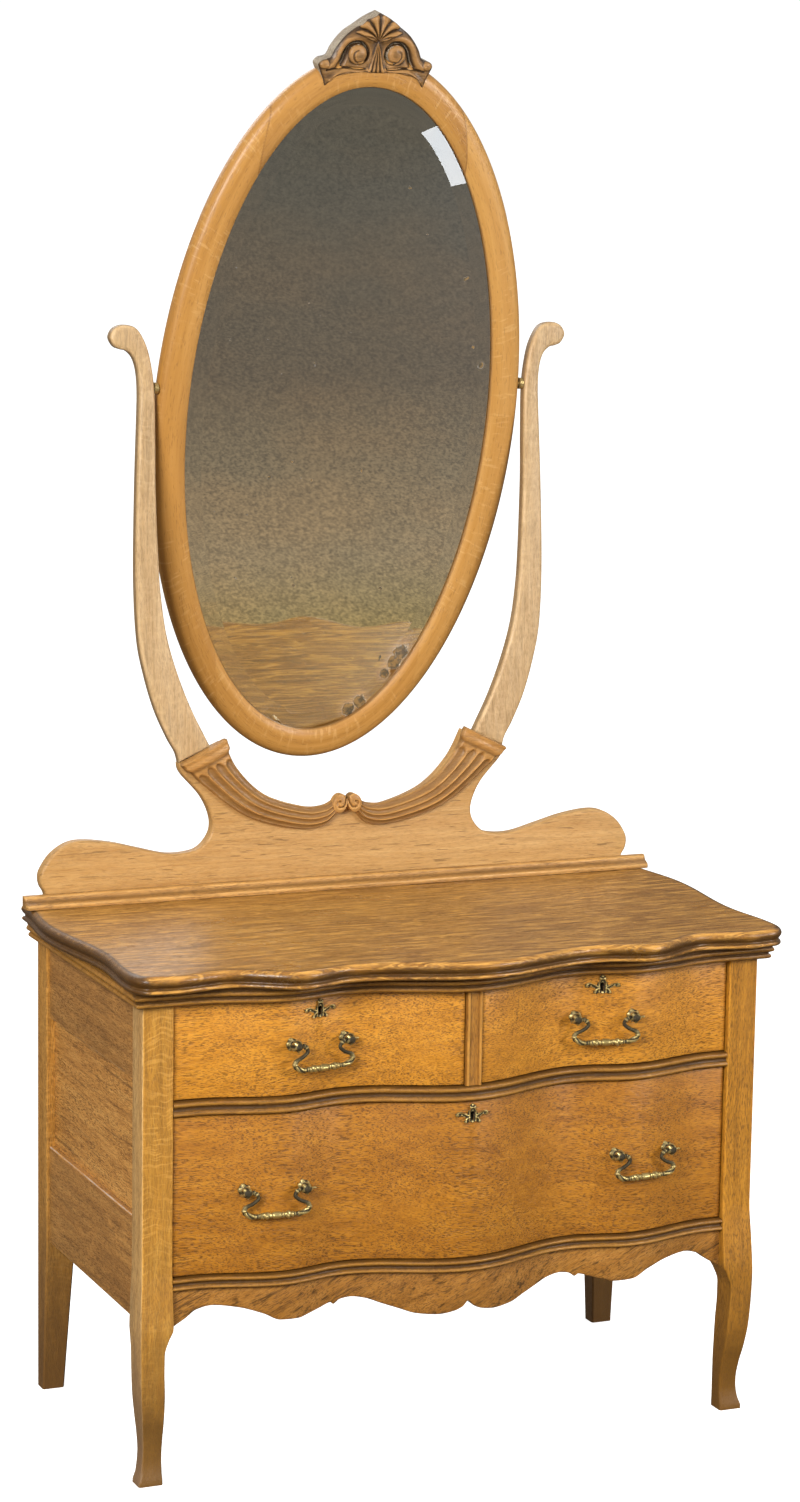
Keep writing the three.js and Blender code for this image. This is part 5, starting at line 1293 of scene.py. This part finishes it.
# Mirror glass and its backboard
# Thick plate with a wide ground bevel, silvered behind. The silver leans in a little under the bevel, and the
# clear face throws a glint of its own. The silver has greyed, bloomed along the lower right edge and gone in
# a few specks. Its colour is also tinted blue-grey towards the right and yellow low down, where the glass
# shows the top board: painted reflection. Brads hold a thin board behind it.
silver = Look("silvered_glass")
place = silver.place()
haze = silver.noise(grain(silver, "X", (5, 5, 5)), 3)
speck = silver.noise(grain(silver, "X", (55, 55, 55), (3, 1, 7)), 2, 0.5).between(0.74, 0.76)
ragged = silver.noise(grain(silver, "X", (75, 75, 75), (9, 2, 4)), 5, 0.7)
gone, ring = speck, 0.0 * speck
for centre, size in (((0.131, 0.286, 1.000), 0.015), ((0.122, 0.288, 0.984), 0.014),
                     ((0.108, 0.291, 0.969), 0.010), ((0.058, 0.304, 0.917), 0.013),
                     ((0.074, 0.301, 0.928), 0.013), ((0.206, 0.195, 1.415), 0.006)):
    away = silver.node("ShaderNodeVectorMath", {"operation": "DISTANCE"}, {0: place, 1: centre}, 1)
    near = 1.0 - (away + (ragged - 0.5) * size * 1.5).between(size * 0.55, size * 0.95)
    halo = 1.0 - (away + (ragged - 0.5) * size * 0.5).between(size * 0.7, size * 2.1)
    gone, ring = gone.sum("MAXIMUM", near), ring.sum("MAXIMUM", halo)
right_side = silver.axis(place, "X").between(0.02, 0.24)
tint = silver.mixed(haze, (0.74, 0.75, 0.75), (0.81, 0.80, 0.77))
# Painted reflection: a blue-grey tint towards the right of the glass.
tint = silver.mixed(right_side * 0.5, tint, (0.74, 0.78, 0.84))
# Painted reflection: a yellow tint low down, where the glass shows the top board.
tint = silver.mixed(1.0 - silver.axis(place, "Z").between(1.02, 1.16), tint, (0.75, 0.73, 0.52))
tint = silver.mixed(ring.between(0.1, 0.9) * 0.55, tint, (0.95, 0.94, 0.88))
stain = silver.mixed(ragged.between(0.42, 0.56), (0.34, 0.215, 0.085), (0.105, 0.088, 0.058))
tint = silver.mixed(gone.between(0.15, 0.75), tint, stain)
silvering = silver.bump(1.0, 1.0, silver.mark("depth_seen"))
silver.wear(Base_Color=tint, Metallic=1.0 - gone * 0.7, Roughness=0.012 + haze * 0.012 + gone * 0.3,
            Normal=silvering, Coat_Weight=1.0, Coat_Roughness=0.0, Coat_IOR=1.8)
reach_out = 0.007
glass_rows = [(-0.0252, 0.0078), (-0.0250, 0.0078), (-0.0125, 0.00847), (-0.001, 0.0091), (-0.001, 0.0108),
              (reach_out, 0.0108), (reach_out, 0.0138)]


def glass_oval(grow, deep, count):
    """Points round an oval that is wider than the sight of the glass by grow."""
    return [tip @ Vector((math.cos(a) * (glass_half + grow), face_back + deep,
                          math.sin(a) * (glass_high + grow) - drop))
            for a in np.linspace(0, 2 * math.pi, count, endpoint=False)]


glass_points = 360
rings = [glass_oval(grow, deep, glass_points) for grow, deep in glass_rows]
plate_made = piece("mirror_plate", *skin(rings), silver.material, "silvered_glass",
                   "mirror", ["mirror_glass"], sharp=1)
bevel_in, bevel_out, seen_rise = glass_rows[0][0], glass_rows[3][0], 0.0017
rises = np.repeat([seen_rise * (grow - bevel_in) / (bevel_out - bevel_in) if grow < 0 else 0.0
                   for grow, _ in glass_rows], glass_points)
marked(plate_made.data, "depth_seen", rises)
dress(back_wood, "mirror_backboard")


def stud_tree():
    """Small domed heads in a row along a path."""
    tree = bpy.data.node_groups.new("studs_along_path", "GeometryNodeTree")
    tree.interface.new_socket(name="Path", in_out="INPUT", socket_type="NodeSocketGeometry")
    for name, kind in (("Heads", "NodeSocketInt"), ("Head radius", "NodeSocketFloat"),
                       ("Flattening", "NodeSocketFloat"), ("Finish", "NodeSocketMaterial")):
        tree.interface.new_socket(name=name, in_out="INPUT", socket_type=kind)
    tree.interface.new_socket(name="Studs", in_out="OUTPUT", socket_type="NodeSocketGeometry")

    def add(kind, settings=(), **inputs):
        made = tree.nodes.new(kind)
        for key, value in dict(settings).items():
            setattr(made, key, value)
        for key, value in inputs.items():
            end = made.inputs[key.replace("_", " ")]
            if isinstance(value, bpy.types.NodeSocket):
                tree.links.new(value, end)
            else:
                end.default_value = value
        return made

    start = add("NodeGroupInput").outputs
    line = add("GeometryNodeMeshToCurve", Mesh=start["Path"])
    spaced = add("GeometryNodeResampleCurve", Curve=line.outputs[0], Count=start["Heads"])
    head = add("GeometryNodeMeshUVSphere", Segments=14, Rings=8, Radius=start["Head radius"])
    shape = add("ShaderNodeCombineXYZ", X=1.0, Y=start["Flattening"], Z=1.0)
    pressed = add("GeometryNodeTransform", Geometry=head.outputs[0], Scale=shape.outputs[0])
    rounded_head = add("GeometryNodeSetShadeSmooth", Geometry=pressed.outputs[0])
    placed = add("GeometryNodeInstanceOnPoints", Points=spaced.outputs[0], Instance=rounded_head.outputs[0])
    real = add("GeometryNodeRealizeInstances", Geometry=placed.outputs[0])
    dressed = add("GeometryNodeSetMaterial", Geometry=real.outputs[0], Material=start["Finish"])
    add("NodeGroupOutput", Studs=dressed.outputs[0])
    return tree


studs = stud_tree()


def stud_row(name, path, heads, radius, flattening, finish, body):
    mesh = bpy.data.meshes.new(name)
    mesh.from_pydata([tuple(p) for p in path], [(i, (i + 1) % len(path)) for i in range(len(path))], [])
    made = put(name, mesh)
    step = made.modifiers.new("studs", "NODES")
    step.node_group = studs
    values = {"Heads": heads, "Head radius": radius, "Flattening": flattening, "Finish": finish}
    for item in studs.interface.items_tree:
        if item.name in values:
            step[item.identifier] = values[item.name]
    plain(made)
    settle(made, body)


brad_line = glass_oval(0.001, 0.0194, 120)
stud_row("backboard_brads", brad_line, 30, 0.0024, 0.5, steel_look.material, "mirror")
nail_out, nail_y, nail_low, nail_high = 0.390, 0.1932, 0.235, 0.650
nail_line = [(x, nail_y, z) for x, z in ((-nail_out, nail_low), (nail_out, nail_low),
                                         (nail_out, nail_high), (-nail_out, nail_high))]
stud_row("back_nails", nail_line, 26, 0.0026, 0.4, steel_look.material, "case")

# Crest
# A pierced-looking ornament, carved in the solid and glued over the top of the frame: a fan of leaves
# between two domed scrolls, bands that sweep down to an ear on each side, and a spray along the foot.
crest_oak = oak("oak_crest", "X", (0.105, 0.046, 0.012), (0.205, 0.102, 0.030), (0.33, 0.178, 0.058),
                pores=0.2, gloss=0.40, seed=53.0, dirt_shade_and_highlight=0.95, wear_and_highlight=(0.50, 0.255, 0.080))
crest_edge_oak = oak("oak_crest_edge", "X", (0.16, 0.110, 0.065), (0.36, 0.290, 0.205), (0.50, 0.43, 0.33),
                     pores=0.5, gloss=0.55, seed=57.0)
crest_half = through(np.array([
    (0, 1), (0.2, 0.915), (0.36, 0.82), (0.52, 0.727), (0.625, 0.636), (0.727, 0.515), (0.79, 0.4),
    (0.85, 0.37), (0.94, 0.35), (1, 0.293), (0.97, 0.217), (0.9, 0.09), (0.855, 0), (0.76, 0.1),
    (0.64, 0.15), (0.5, 0.175), (0.23, 0.2), (0, 0.187)]) * (0.0825, 0.099), 150)
crest_line = mirrored(crest_half)
eye_up, eye_out, pinch = 43.2, 28.0, 16.0
gouge = through([(25, -11.5), (19, -10.5), (14.5, -6), (13, 1), (15, 8.5), (21.5, 14.5), (29.5, 16),
                 (37.5, 13.5), (43, 8), (46.5, 0.5), (49, -8), (53, -16)], 60)
band = through([(68, -17), (60, -10), (54.5, 1), (49.5, 12), (42, 19.5), (31, 23.5), (20, 23.5),
                (10, 20)], 50)
spray = through([(13, -22), (24, -24.5), (40, -24), (54, -28), (64, -36)], 40)
curl_line = through([(25, -11.5), (31, -9), (34.5, -3), (33.5, 3), (29, 6)], 24)
under = through([(16, -19.5), (30, -19), (44, -18), (58, -19.5), (70, -22)], 40)


def soft(value, low, high):
    t = np.clip((value - low) / (high - low), 0, 1)
    return t * t * (3 - 2 * t)


def fan(out, rise, spread, reach, half_angle, narrow):
    """Leaves that spread from the pinch: round ribs that bend outwards, with a groove between them."""
    r, angle = np.hypot(out, rise), np.arctan2(out, rise)
    cell = angle / (spread * (narrow + (1 - narrow) * np.clip(r / reach, 0, 1)))
    rib = np.abs(cell % 1 - 0.5) * 2
    tip = reach * (1 - 0.05 * np.floor(cell)) - 0.20 * reach * rib ** 2.4
    inner = soft(r, 1, 6) * soft(tip - r, -0.5, 4.5) * soft(half_angle - angle, 0, 0.10)
    return inner * (0.5 + 4.4 * (1 - rib ** 1.7) * (0.4 + 0.6 * soft(r, 2, 16)))


def crest_height(x, z):
    ax, up = np.abs(x) * 1000, z * 1000 - eye_up
    rim, _ = nearest(x, z, np.vstack([crest_line, crest_line[:1]]))
    body = 4.4 + 1.8 * np.sqrt(np.clip(rim * 1000 / 4, 0, 1))
    body += fan(ax, up - pinch, 0.57, 43, 1.22, 0.40)
    body += fan(ax, pinch + 3 - up, 0.15, 62, 0.36, 0.95) * 0.60
    body += ridge(nearest(ax, up, band)[0], 4.4, 2.6)
    for out, low, size, high in ((eye_out, 0, 13.2, 5.4), (75, 13, 7.0, 3.0)):
        body += high * np.sqrt(np.clip(1 - ((ax - out) ** 2 + (up + low) ** 2) / size ** 2, 0, 1))
    leaf, _ = nearest(ax, up, spray)
    body += ridge(leaf, 3.6, 3.4) - ridge(leaf, 0.8, 1.6)
    cut, along = nearest(ax, up, gouge)
    body -= ridge(cut, 1.9 + 2.2 * soft(along, 0.45, 1.0), 6.4)
    body -= ridge(nearest(ax, up, under)[0], 1.3, 3.2)
    curl, along = nearest(ax, up, curl_line)
    return (body - ridge(curl, 1.3, 2.4 * (1 - 0.75 * along))) * 0.001


points, faces = relief(crest_line, 0.0008, crest_height, 0.0)
front = points[:, 1] < -0.0005
crest_x, crest_z = points[:, 0], points[:, 2]
# Marks: dark in the hollows and low places, partly old polish and partly painted shade; light on the ridges
# and domes, partly wear and partly painted highlight.
marks = sum(hollows(crest_height, crest_x, crest_z, size) * 0.60 for size in (0.0022, 0.0060))
marks += 0.35 * (1 - soft(crest_height(crest_x, crest_z) * 1000, 2.5, 8.5)) - 0.12
foot = glass_high + 0.002 - drop
placed = []
for (x, y, z), is_front in zip(points, front):
    deep = face_back + y + 0.0045 if is_front else face_back + 0.021
    placed.append(tip @ Vector((x, deep, z + foot)))
carved = piece("crest_carved", placed, faces, crest_oak, "oak_pale", "mirror", ["crest"], sharp=55,
               recess=np.where(front, np.clip(marks, 0, 1), 0.10))
facing = tip.to_3x3() @ Vector((0, -1, 0))
second_look(carved, crest_edge_oak, lambda face: abs(face.normal.dot(facing)) < 0.3)
